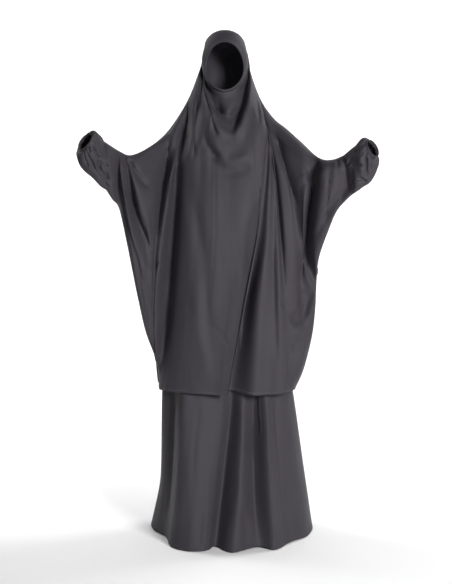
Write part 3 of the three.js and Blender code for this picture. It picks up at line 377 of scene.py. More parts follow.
hood = {"middle": -4, "crownHalfWidth": 65.25, "crownRise": 45, "crownDrop": 29, "crownDepth": -16,
        "crownBack": 12,
        "centre": (-4, 8, -120), "half": (78, 105, 122)}
opening = {"halfWidth": 64, "halfHeight": 79, "height": -134, "frontDepth": -92, "sideDepth": -56,
           "faceDepth": -80}
hemBack = {"depth": 182, "height": -1222}

# Lengthwise lines of the top, left to right: name, station on the top edge, station on the lower edge,
# then sideways place, front depth and back depth at four parts of the drop.
lineStations = [0, 0.1, 0.25, 0.5, 0.75, 1]
lines = [
    ("left sleeve seam", 0, 0, (-389, -384, -377, -381), (-255, -255, -252, -240), (-165, -165, -165, -180)),
    ("left arm ridge", 0.42, 1, (-370, -368, -366, -366), (-238, -240, -236, -220), (-150, -148, -150, -165)),
    ("left arm groove", 0.8, 2, (-352, -350, -349, -348), (-214, -211, -207, -198), (-120, -115, -120, -140)),
    ("left wing edge", 0.86, 2.8, (-348, -344, -337, -332), (-212, -215, -205, -185),
     (-112, -105, -105, -125)),
    ("left wing ridge", 0.92, 3.6, (-342, -334, -320, -308), (-212, -220, -210, -182), (-105, -90, -85, -95)),
    ("left wing hollow side", 1, 4.7, (-332, -322, -298, -282), (-205, -202, -192, -156),
     (-100, -75, -62, -60)),
    ("left wing fold", 1.25, 6, (-321, -307, -268, -268), (-190, -162, -172, -134), (-88, -55, -30, -20)),
    ("left wing panel", 1.6, 6.6, (-303, -283, -262, -262), (-190, -178, -164, -128), (-78, -40, -8, 5)),
    ("left wing panel inner", 2.2, 7, (-282, -261, -250, -256), (-165, -168, -156, -122), (-45, -5, 22, 25)),
    ("left shoulder panel", 3, 7.4, (-250, -240, -243, -250), (-115, -142, -146, -118), (15, 40, 60, 50)),
    ("left second valley", 3.7, 7.7, (-208, -218, -236, -244), (-62, -98, -126, -110), (60, 85, 95, 75)),
    ("left bright ridge", 4.4, 7.9, (-176, -187, -216, -234), (-55, -120, -128, -110), (85, 112, 118, 95)),
    ("left main valley", 5.2, 8, (-142, -164, -186, -202), (-24, -78, -76, -70), (88, 125, 135, 115)),
    ("left panel edge", 5.4, 9, (-126, -136, -152, -172), (-48, -118, -122, -120), (90, 128, 142, 148)),
    ("left panel", 5.7, 10, (-106, -110, -121, -139), (-58, -130, -146, -147), (92, 128, 142, 150)),
    ("left hood side", 6.3, 11, (-88, -84, -93, -113), (-55, -128, -153, -159), (92, 124, 140, 152)),
    ("left drape", 7.5, 12, (-81, -64, -70, -87), (-52, -130, -157, -165), (98, 112, 138, 154)),
    ("left crown seam", 9, 13, (-77, -45, -47, -65), (-62, -128, -158, -166), (104, 102, 136, 156)),
    ("left temple", 9.7, 13.5, (-73, -36, -36, -56), (-70, -135, -158, -166), (104, 100, 135, 157)),
    ("left cheek", 10.5, 14, (-68, -27, -25, -47), (-80, -142, -159, -166), (104, 98, 134, 158)),
    ("left jaw", 12, 15, (-52, -8, -5, -30), (-94, -150, -158, -165), (104, 96, 133, 159)),
    ("left chin side", 13, 16, (-37, 10, 13, -15), (-104, -152, -157, -165), (104, 95, 132, 160)),
    ("left chin", 14, 17, (-20, 28, 31, 0), (-112, -154, -158, -166), (104, 95, 132, 160)),
    ("middle", 15, 18, (7, 50, 49, 13), (-118, -155, -160, -168), (104, 95, 132, 160)),
    ("right chin", 16, 19, (34, 70, 66, 26), (-112, -154, -160, -169), (104, 95, 132, 160)),
    ("right chin side", 17, 20, (52, 87, 81, 38), (-104, -152, -160, -170), (104, 95, 132, 160)),
    ("right jaw", 18, 21, (65, 101, 94, 49), (-94, -150, -160, -171), (104, 96, 133, 159)),
    ("right cheek", 19.5, 22, (76, 115, 106, 60), (-80, -142, -160, -172), (104, 98, 134, 158)),
    ("right temple", 20.3, 22.5, (80, 120, 106, 56), (-70, -135, -160, -173), (104, 100, 135, 157)),
    ("lap fold edge", 21, 23, (84, 127, 112, 61), (-62, -128, -160, -177), (104, 102, 136, 156)),
    ("lap fold underside", 22, 24, (89, 131, 108, 49), (-50, -112, -142, -116), (100, 108, 138, 154)),
    ("lap fold valley", 23, 25, (97, 139, 119, 70), (-45, -110, -136, -110), (98, 112, 138, 152)),
    ("right panel ridge", 23.6, 26, (109, 147, 136, 102), (-46, -122, -152, -167), (96, 116, 139, 150)),
    ("right soft valley", 24.2, 27, (120, 154, 158, 150), (-46, -117, -140, -153), (94, 120, 140, 149)),
    ("right second ridge", 24.4, 28, (125, 157, 173, 178), (-46, -121, -145, -156), (92, 122, 140, 149)),
    ("right main valley", 24.6, 29, (132, 161, 183, 198), (-38, -98, -118, -140), (90, 122, 140, 148)),
    ("right panel", 25, 30, (147, 175, 197, 213), (-48, -114, -132, -132), (88, 118, 134, 118)),
    ("right shoulder panel", 25.8, 31, (174, 203, 221, 238), (-60, -124, -130, -116), (86, 110, 118, 92)),
    ("right shoulder valley", 26.6, 31.8, (187, 208, 240, 249), (-76, -122, -120, -95), (72, 92, 98, 74)),
    ("right shoulder fold", 27.5, 32.6, (227, 240, 251, 256), (-108, -146, -130, -92), (48, 62, 68, 52)),
    ("right wing panel", 28.2, 33.4, (256, 263, 257, 261), (-132, -160, -142, -100), (5, 20, 30, 22)),
    ("right wing valley", 28.8, 34, (292, 288, 277, 271), (-150, -138, -102, -92), (-38, -20, -8, -20)),
    ("right elbow ridge", 29.2, 34.5, (308, 304, 294, 288), (-212, -208, -172, -144), (-66, -52, -45, -60)),
    ("right arm ridge", 29.9, 35.2, (346, 342, 331, 315), (-228, -226, -202, -170), (-100, -92, -90, -105)),
    ("right arm", 30.35, 36.3, (362, 363, 357, 348), (-235, -233, -216, -192), (-128, -124, -125, -140)),
    ("right arm middle", 30.55, 36.9, (368, 371, 369, 364), (-238, -236, -219, -199),
     (-138, -135, -137, -151)),
    ("right arm groove", 30.7, 37.5, (374, 378, 380, 378), (-240, -238, -221, -203),
     (-148, -146, -148, -162)),
    ("right arm end", 30.85, 38.2, (379, 384, 390, 391), (-246, -244, -231, -217), (-157, -156, -157, -171)),
    ("right sleeve seam", 31, 39, (383, 389, 399, 404), (-255, -255, -252, -240), (-165, -165, -165, -180)),
]

# Folds: name, course of places [x, z], how deep (forward where negative), width of the left and of the
# right flank, and whether it is crisp.
frontFolds = [
    ("left gap beside the face", [(-79, -100), (-62, -215), (-14, -292)], 26, 14, 24, False),
    ("right gap beside the face", [(72, -100), (60, -240), (18, -362)], 26, 26, 13, False),
    ("left drape ridge", [(-80, -150), (-62, -250), (-36, -345)], -13, 15, 11, False),
    ("right drape ridge", [(76, -150), (66, -260), (30, -395)], -13, 13, 17, False),
    ("chin swag", [(-42, -262), (8, -300), (48, -262)], 12, 14, 16, False),
    ("upper swag", [(-34, -330), (10, -368), (44, -330)], -9, 14, 18, False),
    ("lower swag", [(-70, -290), (-8, -456), (84, -440)], -12, 22, 20, False),
    ("below the swags", [(-60, -420), (2, -482), (80, -470)], 10, 22, 26, False),
    ("left elbow fold", [(-318, -450), (-296, -492), (-258, -545)], 22, 9, 9, True),
    ("left wing hook", [(-285, -668), (-250, -785), (-226, -798)], 12, 16, 18, False),
    ("right shoulder fold", [(180, -372), (196, -470), (236, -600)], 16, 9, 10, True),
    ("right elbow gather", [(312, -462), (282, -500), (248, -545)], 8, 12, 12, False),
    ("right wing swag", [(292, -860), (262, -960), (214, -985)], 16, 22, 20, False),
    ("right lower swag", [(296, -960), (262, -1050), (212, -1068)], 10, 22, 22, False),
    ("right lower ridge", [(298, -910), (268, -1004), (214, -1026)], -8, 20, 20, False),
    # Finer ones: neck and chest
    ("left slit beside the face", [(-76, -110), (-70, -180), (-56, -246), (-33, -272), (-13, -292)],
     11, 5, 6, True),
    ("right slit beside the face", [(69, -98), (60, -200), (46, -282), (33, -322), (16, -368)],
     11, 6, 6, True),
    ("slit in the cowl", [(-46, -309), (-40, -348), (-28, -370)], 10, 5, 7, True),
    ("shadow left of the swag", [(-76, -305), (-62, -400), (-20, -447)], 11, 9, 11, False),
    ("chin pleat", [(-23, -222), (-21, -258), (-16, -290)], 4, 4, 4, True),
    ("second chin swag", [(-22, -268), (8, -318), (38, -276)], 6, 7, 8, True),
    ("cheek crease", [(-98, -239), (-102, -355), (-106, -444)], 11, 6, 7, True),
    ("collar crease", [(-129, -355), (-136, -405), (-143, -454)], 9, 5, 6, True),
    ("upper valley", [(-119, -246), (-142, -355), (-152, -437)], 10, 7, 8, True),
    ("middle valley", [(-160, -503), (-174, -685), (-190, -883)], 12, 11, 10, True),
    ("lower valley", [(-191, -883), (-205, -1064), (-218, -1180)], 6, 10, 12, False),
    ("second valley crease", [(-191, -358), (-209, -503), (-230, -701)], 12, 6, 7, True),
    ("right cheek line", [(102, -233), (112, -335)], 5, 6, 6, False),
    ("right valley crease", [(119, -299), (132, -345), (149, -421), (162, -520), (175, -669), (185, -850)],
     10, 6, 6, True),
    ("soft valley crease", [(152, -718), (160, -900), (168, -1120)], 5, 8, 7, True),
    ("notch", [(186, -905), (191, -926), (196, -940)], 6, 8, 8, False),
    ("below the notch", [(195, -982), (206, -1100), (210, -1160)], -3, 9, 9, False),
    # Front panel
    ("long soft valley", [(-122, -470), (-112, -586), (-89, -685), (-73, -784), (-66, -916), (-53, -1060)],
     7, 24, 20, False),
    ("long soft ridge", [(-94, -850), (-88, -1000), (-53, -1180)], -4, 20, 20, False),
    ("thin crease across", [(-86, -782), (6, -790), (96, -780)], 1.6, 6, 9, True),
    ("slanting crease", [(-142, -942), (-60, -988), (-7, -1038), (13, -1074)], 2, 6, 7, True),
    ("lap edge line", [(125, -916), (128, -1060), (122, -1200)], 2, 5, 5, True),
    ("soft pull to the lap", [(96, -560), (60, -700), (48, -860)], 4, 26, 20, False),
    # Left arm and wing
    ("left wing crease", [(-341, -432), (-323, -473), (-311, -538), (-302, -600), (-274, -680), (-240, -765)],
     18, 9, 9, True),
    ("left arm line", [(-350, -418), (-346, -470), (-350, -553), (-351, -640)], 14, 6, 7, True),
    ("shoulder tuck", [(-240, -415), (-256, -434), (-273, -454)], 7, 5, 6, True),
    ("forearm ridge", [(-374, -424), (-371, -506), (-364, -564)], -4, 7, 8, False),
    ("wing drape", [(-262, -620), (-250, -700), (-246, -770)], -4, 9, 10, False),
    ("left flank ripple", [(-268, -840), (-258, -930), (-244, -1010)], 4, 12, 14, False),
    # Right arm and wing
    ("right wing crease", [(300, -512), (283, -587), (274, -655), (262, -770), (256, -830)], 13, 9, 7, True),
    ("right outer crease", [(315, -509), (297, -600), (284, -700), (266, -831)], 5, 6, 6, True),
    ("right flank crease", [(261, -883), (244, -933), (226, -970)], 6, 8, 9, True),
    ("first elbow gather", [(317, -450), (308, -475), (296, -496)], 6, 4, 4.5, True),
    ("second elbow gather", [(323, -452), (312, -478), (303, -502)], 6, 4, 4.5, True),
    ("long elbow gather", [(308, -460), (283, -483), (256, -501)], 4, 5, 6, True),
    ("level elbow gather", [(208, -494), (234, -496), (261, -496)], 2.5, 4, 5, True),
    ("upper arm line", [(341, -446), (341, -496), (338, -556)], 5, 4.5, 4.5, True),
    ("upper arm ridge", [(348, -451), (341, -506), (332, -615)], -5, 9, 9, False),
    ("upper arm slit", [(331, -468), (330, -560), (329, -668)], 7, 5, 5, True),
    ("wrist-side tuck", [(357, -444), (358, -462), (359, -482)], 6, 4, 5, True),
    ("seam shadow", [(374, -446), (386, -505), (396, -560)], 9, 8, 6, True),
]
backFolds = [
    ("left arm swag", [(-325, -480), (-270, -640), (-250, -860)], 16, 26, 34, False),
    ("left inner arm swag", [(-255, -450), (-225, -640), (-222, -940)], 15, 26, 34, False),
    ("left shoulder blade", [(-160, -360), (-165, -700), (-178, -1230)], 26, 34, 26, False),
    ("left back flute", [(-92, -330), (-96, -720), (-104, -1230)], 20, 26, 34, False),
    ("nape hollow", [(-40, -210), (-30, -420), (-34, -1230)], 15, 30, 26, False),
    ("right nape hollow", [(36, -230), (46, -520), (52, -1230)], 18, 26, 34, False),
    ("right back flute", [(96, -320), (118, -700), (128, -1230)], 22, 34, 26, False),
    ("right shoulder blade", [(168, -370), (186, -700), (196, -1230)], 24, 26, 34, False),
    ("right inner arm swag", [(258, -450), (242, -640), (246, -900)], 15, 34, 26, False),
    ("right arm swag", [(325, -490), (296, -640), (286, -820)], 14, 30, 26, False),
    ("nape crease", [(-50, -190), (-62, -300), (-96, -400)], 6, 9, 10, True),
    ("right nape crease", [(48, -200), (70, -310), (104, -420)], 6, 9, 10, True),
    ("left yoke pull", [(-205, -380), (-150, -440), (-110, -540)], 6, 10, 12, True),
    ("right yoke pull", [(212, -380), (160, -450), (116, -560)], 6, 10, 12, True),
    ("left back crease", [(-128, -520), (-132, -820), (-140, -1150)], 5, 9, 8, True),
    ("middle back crease", [(6, -420), (10, -760), (14, -1120)], 4, 10, 10, True),
    ("right back crease", [(84, -560), (88, -860), (90, -1190)], 5, 8, 9, True),
    ("left elbow pull", [(-330, -470), (-290, -520), (-236, -540)], 6, 8, 9, True),
    ("right elbow pull", [(332, -480), (296, -520), (240, -556)], 6, 8, 9, True),
    ("left wing crease", [(-345, -500), (-322, -620), (-288, -760)], 6, 9, 9, True),
    ("right wing crease", [(352, -510), (326, -640), (296, -780)], 6, 9, 9, True),
    ("left hip swag", [(-250, -900), (-210, -990), (-150, -1010)], 5, 14, 14, False),
    ("right hip swag", [(262, -940), (220, -1030), (160, -1050)], 5, 14, 14, False),
]
top = {
    "cornerReach": 1.6,  # stations past the hem's corner over which the front takes the lines' own depth
    "frontRows": 162, "backRows": 140, "frontColumns": 6, "backColumns": 4,  # columns from line to line
    "topCrowding": 1.5, "endCrowding": 1.25,  # rows lie closer at the ridge and at the edges
    "thickness": 1.5, "hemWidth": 9, "hemRise": 0.7, "seamDip": 0.8,
    "uneven": [(2.0, 60, 200, 0.0), (0.6, 20, 70, 5.0)],
    "edgeFade": 14,  # mm from the outer edges over which the folds come in
    "topFade": 0.02,  # the same down from the top edge, as a part of the drop
    "bandSettle": 0.05, "leadReach": 16, "leadQuick": 0.01, "leadGone": 0.13, "leadSlow": 0.02,
}

crownStart = len(ridgeLeft) - 1
bandEdge = [(hood["middle"] - out, y, z, 95) for out, y, z in bandEdgeHalf]
bandEdge += [(hood["middle"] + out, y, z, 95) for out, y, z in bandEdgeHalf[-2::-1]]
crownEnd = crownStart + len(bandEdge) - 1
hemStart = len(sideLeft) - 1
hemEnd = hemStart + len(hemFront) - 1
depthAxis = np.array((0.0, 1.0, 0.0))


def crownArc(part):
    part = np.asarray(part, float)
    low = math.asin(1 - hood["crownDrop"] / hood["crownRise"])
    angle = mix(low, math.pi - low, part)
    return np.stack([hood["middle"] - hood["crownHalfWidth"] * np.cos(angle),
                     hood["crownDepth"] - hood["crownBack"] * np.sin(math.pi * part),
                     hood["crownRise"] * (np.sin(angle) - 1), np.full_like(angle, 95)], -1)


def topEdge(station, isFront):
    station = np.atleast_1d(np.asarray(station, float))
    along = (station - crownStart) / (crownEnd - crownStart)
    middle = throughEven(bandEdge, station - crownStart) if isFront else crownArc(along)
    left, right = throughEven(ridgeLeft, station), throughEven(ridgeRight, station - crownEnd)
    on = station[:, None]
    return np.where(on <= crownStart, left, np.where(on >= crownEnd, right, middle))


def lowerEdge(station, isFront):
    station = np.atleast_1d(np.asarray(station, float))
    left, right = throughEven(sideLeft, station), throughEven(sideRight, station - hemEnd)
    if isFront:
        middle = throughEven([row + (30,) for row in hemFront], station - hemStart)
    else:
        angle = math.pi * clamp01((station - hemStart) / (hemEnd - hemStart))
        middle = np.stack([mix(sideLeft[-1][0], sideRight[0][0], (1 - np.cos(angle)) / 2),
                           hemBack["depth"] * np.sin(angle) ** 0.8,
                           np.full_like(angle, hemBack["height"]), np.full_like(angle, 30)], -1)
    on = station[:, None]
    return np.where(on <= hemStart, left, np.where(on >= hemEnd, right, middle))


def nearestEdge(x, z, curves):
    away, depth, turn = np.full(x.shape, 1e9), np.zeros_like(x), np.ones_like(x)
    for points in curves:
        for a, b in zip(points[:-1], points[1:]):
            t, gap, _ = besideSegment(x, z, a[[0, 2]], b[[0, 2]])
            closer = gap < away
            away = np.where(closer, gap, away)
            depth = np.where(closer, mix(a[1], b[1], t), depth)
            turn = np.where(closer, mix(a[3], b[3], t), turn)
    return away, depth, turn


def edgeLine(curve, isFront, start, stop):
    return curve(np.linspace(start, stop, round(5 * (stop - start)) + 1), isFront)


ridgeLines = [edgeLine(topEdge, True, 0, crownStart),
              edgeLine(topEdge, True, crownEnd, crownEnd + len(ridgeRight) - 1)]
sideLines = [edgeLine(lowerEdge, True, 0, hemStart),
             edgeLine(lowerEdge, True, hemEnd, hemEnd + len(sideRight) - 1)]
crownLine = edgeLine(topEdge, False, crownStart, crownEnd)


def headNormal(points):
    out = points - np.array(hood["centre"], float)
    return unit(out / np.array(hood["half"], float) ** 2)


def seamWay(points, tangent):
    # at the band's seam: the way from the band towards the panel
    away = unit(np.cross(tangent, headNormal(points)))
    face = np.array((hood["middle"], opening["faceDepth"], opening["height"]), float)
    return np.where(((points - face) * away).sum(-1, keepdims=True) < 0, -away, away)


sleeveCreases = [
    ("left deep tuck", [(-403, -466), (-400, -497), (-376, -525)], 14, 5, 8, True),
    ("left tuck branch", [(-403, -467), (-388, -474), (-371, -481)], 8, 4, 4, True),
    ("left upper tuck", [(-416, -423), (-408, -438), (-400, -455)], 12, 4, 5, True),
    ("left long crease", [(-440, -435), (-424, -475), (-405, -516)], 8, 4, 5, True),
    ("left curved crease", [(-408, -519), (-394, -519), (-379, -548)], 9, 4, 5, True),
    ("left puff ridge", [(-413, -459), (-408, -497)], -5, 6, 6, False),
    ("left ridge past the tuck", [(-390, -469), (-374, -510)], -5, 7, 7, False),
    ("left first cuff pleat", [(-431, -414), (-426, -446)], 8, 4, 4, True),
    ("left second cuff pleat", [(-448, -430), (-445, -459), (-435, -485)], 8, 4, 4, True),
    ("left third cuff pleat", [(-422, -395), (-408, -414)], 8, 4, 4, True),
    ("left top shadow", [(-387, -405), (-390, -433), (-384, -459)], 9, 5, 6, True),
    ("right upper crease", [(378, -472), (403, -480), (432, -484)], 9, 4, 6, True),
    ("right lower crease", [(402, -539), (422, -537), (447, -535)], 9, 4, 5, True),
    ("right slanting crease", [(418, -521), (432, -528), (447, -536)], 8, 4, 4, True),
    ("right long crease", [(435, -454), (440, -486), (445, -523)], 12, 4, 6, True),
    ("right first cuff pleat", [(448, -414), (442, -433), (435, -453)], 9, 4, 4, True),
    ("right second cuff pleat", [(458, -446), (459, -472), (452, -500)], 8, 4, 4, True),
    ("right third cuff pleat", [(438, -405), (419, -424), (403, -440)], 8, 4, 5, True),
    ("right puff ridge", [(419, -453), (426, -510)], -5, 9, 9, False),
]


def panelGrid(isFront):
    rows = top["frontRows"] if isFront else top["backRows"]
    perLine = top["frontColumns"] if isFront else top["backColumns"]
    count = (len(lines) - 1) * perLine + 1
    i = np.arange(count) / perLine
    each = np.arange(len(lines))
    topStation = np.interp(i, each, [line[1] for line in lines])
    endStation = np.interp(i, each, [line[2] for line in lines])
    part = (np.arange(rows + 1) / rows)[:, None]
    v = np.broadcast_to(1 - (1 - part ** top["topCrowding"]) ** top["endCrowding"], (rows + 1, count))
    start, end = topEdge(topStation, isFront), lowerEdge(endStation, isFront)
    onBand = (topStation > crownStart) & (topStation < crownEnd)
    drop = np.where(onBand & isFront, v * v / (v + top["leadSlow"] * (1 - v) + 1e-12), v)
    z = mix(start[:, 2], end[:, 2], drop)
    if isFront:
        places = throughEven([line[3] for line in lines], i).T
        x = throughStations(lineStations, np.vstack([start[:, 0], places, end[:, 0]]), drop)
    else:
        x = mix(start[:, 0], end[:, 0], v)
    depths = throughEven([line[4 if isFront else 5] for line in lines], i).T
    first = np.where(onBand & isFront, start[:, 1], depths[0])
    onHem = (endStation > hemStart) & (endStation < hemEnd)
    # the hem's corners turn back with the side edges alone
    hemDepth = lowerEdge(np.clip(endStation, hemStart + 1, hemEnd - 1), True)[:, 1] if isFront else end[:, 1]
    outside = clamp01(np.maximum(hemStart - endStation, endStation - hemEnd) / top["cornerReach"])
    finish = mix(hemDepth, depths[3], outside if isFront else np.where(onHem, 0.0, 1.0))
    hung = throughStations(lineStations, np.vstack([first, depths, finish]), v)
    away, edgeDepth, turn = nearestEdge(x, z, ridgeLines + sideLines + ([] if isFront else [crownLine]))
    turned = quarterRound(away / turn)
    if isFront:
        turned = np.where(onBand, 1 - (1 - turned) * clamp01(v / top["bandSettle"]), turned)
    pushed = foldPush(frontFolds + sleeveCreases if isFront else backFolds, x, z)
    y = mix(edgeDepth, hung, turned)
    pushed = pushed + wornUnevenness(np.stack([x, y, z], -1), top["uneven"])
    calm = clamp01(away / top["edgeFade"]) * clamp01(v / top["topFade"])
    y = y + pushed * calm * (1 if isFront else -1)
    y[0], y[-1] = start[:, 1], np.where(onHem & isFront, y[-1], end[:, 1])
    grid = np.stack([x, y, z], -1)
    if isFront:
        step = 0.05
        before = topEdge(np.maximum(crownStart, topStation - step), True)
        after = topEdge(np.minimum(crownEnd, topStation + step), True)
        way = seamWay(start[:, :3], (after - before)[:, :3])
        lead = top["leadReach"] * (1 - np.exp(-v / top["leadQuick"])) * clamp01(1 - v / top["leadGone"])
        grid = grid + (way[None] * (lead * onBand)[..., None])
    steps = np.linalg.norm(np.diff(grid, axis=0), axis=-1)
    drops = np.concatenate([np.zeros((1, count)), np.cumsum(steps, 0)])
    toHem = np.where(onHem, drops[-1] - drops, 1e3)
    toSeam = np.minimum(away, np.where(onBand & isFront, drops, 1e3))
    return grid, toHem, toSeam


# From a grid to a cloth wall
def gridNormals(grid, wraps, centre=None, outward=1):
    if wraps:
        across = np.roll(grid, -1, 1) - np.roll(grid, 1, 1)
    else:
        across = np.gradient(grid, axis=1)
    down = np.gradient(grid, axis=0)
    normals = unit(np.cross(across, down)) * outward
    if centre is not None:
        facing = ((grid - centre) * normals).sum(-1, keepdims=True)
        normals = np.where(facing < 0, -normals, normals)
    return normals


sharpAngle = 62  # degrees; the rims turn by 90


def clothWall(name, grid, normals, wraps, thickness, material, stitchRow):
    rows, columns = grid.shape[:2]
    points = np.concatenate([grid.reshape(-1, 3), (grid - normals * thickness).reshape(-1, 3)]) * mm
    wide = np.linalg.norm(np.roll(grid, -1, 1) - grid, axis=-1)
    across = np.concatenate([[0], np.cumsum(wide.mean(0))]) * mm
    downs = np.cumsum(np.linalg.norm(np.diff(grid, axis=0), axis=-1).mean(1))
    down = np.concatenate([[0], downs]) * mm

    def onCut(column, row):
        return np.stack(np.broadcast_arrays(across[column], down[row]), -1)

    last = columns if wraps else columns - 1
    r, c = (k.ravel() for k in np.meshgrid(np.arange(rows - 1), np.arange(last), indexing="ij"))
    corners = ((0, 0), (1, 0), (1, 1), (0, 1))  # steps down and across
    outer = [(r + lower) * columns + (c + over) % columns for lower, over in corners]
    inside = rows * columns
    faces = [np.stack(outer, 1), np.stack([k + inside for k in outer[::-1]], 1)]
    cut = [onCut(c + over, r + lower) for lower, over in corners]
    places = [np.stack(cut, 1), np.stack(cut[::-1], 1)]

    def rim(a, b, placeA, placeB):
        # against the way the wall's own edge runs, so that all the faces look outward
        faces.append(np.stack([b, a, a + inside, b + inside], 1))
        places.append(np.stack([placeB, placeA, placeA + thickness * mm, placeB + thickness * mm], 1))

    c = np.arange(last)
    rim((c + 1) % columns, c, onCut(c + 1, 0), onCut(c, 0))
    foot = (rows - 1) * columns
    rim(foot + c, foot + (c + 1) % columns, onCut(c, rows - 1), onCut(c + 1, rows - 1))
    if not wraps:
        r, end = np.arange(rows - 1), columns - 1
        rim(r * columns, (r + 1) * columns, onCut(0, r), onCut(0, r + 1))
        rim((r + 1) * columns + end, r * columns + end, onCut(end, r + 1), onCut(end, r))
    faces, places = np.concatenate(faces), np.concatenate(places)
    a, b, c, d = (points[faces[:, k]] for k in range(4))
    volume = (a * np.cross(b, c)).sum() + (a * np.cross(c, d)).sum()
    if volume < 0:
        faces, places = faces[:, ::-1], places[:, ::-1]
    mesh = bpy.data.meshes.new(name)
    mesh.from_pydata(points.tolist(), [], faces.tolist())
    layer = mesh.uv_layers.new(name="cut")
    layer.data.foreach_set("uv", np.ascontiguousarray(places, np.float32).ravel())
    along = np.broadcast_to(across[:columns], (rows, columns)).ravel()
    for title, values in (("stitchRow", stitchRow.ravel() * mm), ("stitchAlong", along)):
        attribute = mesh.attributes.new(title, "FLOAT", "POINT")
        attribute.data.foreach_set("value", np.tile(values, 2).astype(np.float32))
    mesh.shade_smooth()
    mesh.set_sharp_from_angle(angle=math.radians(sharpAngle))
    mesh.materials.append(material)
    piece = bpy.data.objects.new(name, mesh)
    bpy.context.scene.collection.objects.link(piece)
    area = abs(volume) / 6 / (thickness * mm)
    print("made", name, len(faces), "faces, cloth", round(area, 3), "square metres")
    return piece


sewing = {
    "hemStitchIn": 1.5,  # mm from the turned-up edge to its row of stitches
    "topStitch": 4.0,  # mm from a seam to the row beside it
    "hemEase": 1.5,  # mm over which the doubled hem falls back to one layer
    "seamReach": 3.0,  # mm to the side that the cloth dips at a seam
}


def sewnPanel(name, grid, normals, toHem, toSeam, settings):
    # a turned-up hem stands a little proud, and the cloth dips into each seam
    rise = settings["hemRise"] * (1 - clamp01((toHem - settings["hemWidth"]) / sewing["hemEase"]))
    rise = rise - settings["seamDip"] * np.exp(-((toSeam / sewing["seamReach"]) ** 2))
    hemRow = np.abs(toHem - (settings["hemWidth"] - sewing["hemStitchIn"]))
    stitchRow = np.minimum(hemRow, np.abs(toSeam - sewing["topStitch"]))
    return clothWall(name, grid + normals * rise[..., None], normals, False, settings["thickness"],
                     crepeCloth, stitchRow)


def softEdges(t):
    # 1 along a casing's middle, down to 0 at both its edges
    return np.sqrt(clamp01(1 - (2 * t - 1) ** 6))


def casingPuckers(settings, angle, t, shift):
    # gathers over elastic, strongest along the casing's middle
    wave = np.cos(settings["puckers"] * angle + settings["stray"] * np.sin(5 * angle + shift))
    return settings["pucker"] * wave * mix(settings["edgePucker"], 1, np.sin(math.pi * t))


def panel(name, isFront):
    grid, toHem, toSeam = panelGrid(isFront)
    normals = gridNormals(grid, False, outward=-1 if isFront else 1)
    return sewnPanel(name, grid, normals, toHem, toSeam, top), grid


frontCloth, frontGrid = panel("jilbab_front_cloth", True)
backCloth, backGrid = panel("jilbab_back_cloth", False)

# Face band
band = {
    "rows": 26, "thickness": 1.5, "bulge": 0.14, "casing": 8.5, "casingRise": 1.1,
    "pucker": 0.5, "puckers": 46, "stray": 1.7,  # how far the puckers stray from even steps
    "taper": 0.08,  # part by which the opening narrows to its foot
    "seamDip": 1.6, "seamReach": 3.0, "seamStitch": 4, "casingStitch": 1,
}


def faceBand():
    span = crownEnd - crownStart
    i = np.arange((len(lines) - 1) * top["frontColumns"] + 1) / top["frontColumns"]
    station = np.interp(i, np.arange(len(lines)), [line[1] for line in lines])
    station = station[(station >= crownStart) & (station <= crownEnd)]
    half = (station - crownStart) / span / 2
    part = np.concatenate([half, 1 - half[1:-1][::-1]])
    over = part < 0.5
    outer = np.where(over[:, None], crownArc(part * 2), throughEven(bandEdge, span * (2 - 2 * part)))[:, :3]
    angle = np.arctan2((outer[:, 0] - hood["middle"]) / opening["halfWidth"],
                       (outer[:, 2] - opening["height"]) / opening["halfHeight"])
    side, up = np.sin(angle), np.cos(angle)
    narrow = np.where(up < 0, 1 - band["taper"] * up * up, 1)
    inner = np.stack([hood["middle"] + opening["halfWidth"] * side * narrow,
                      mix(opening["frontDepth"], opening["sideDepth"], np.abs(side) ** 3),
                      opening["height"] + opening["halfHeight"] * up], -1)
    t = np.linspace(0, 1, band["rows"] + 1)[:, None, None]
    grid = mix(outer[None], inner[None], t)
    wide = np.linalg.norm(inner - outer, axis=-1)
    grid = grid + headNormal(grid) * (np.sin(math.pi * t[..., 0]) * band["bulge"] * wide)[..., None]
    toInner = wide * (1 - t[..., 0])
    toSeam = wide - toInner
    roll = np.sqrt(clamp01(1 - ((toInner - band["casing"] / 2) / (band["casing"] / 2)) ** 2))
    tuck = band["pucker"] * np.sin(band["puckers"] * 2 * math.pi * part + band["stray"] * np.sin(9 * part))
    dip = band["seamDip"] * np.exp(-((toSeam / band["seamReach"]) ** 2))
    rise = (band["casingRise"] + tuck) * roll - dip
    grid = grid + headNormal(grid) * rise[..., None]
    normals = gridNormals(grid, True, np.array(hood["centre"], float))
    normals[-1] = headNormal(grid[-1])
    stitchRow = np.minimum(np.abs(toInner - band["casing"] - band["casingStitch"]),
                           np.abs(toSeam - band["seamStitch"]))
    return clothWall("face_band_cloth", grid, normals, True, band["thickness"], crepeCloth, stitchRow)


bandCloth = faceBand()

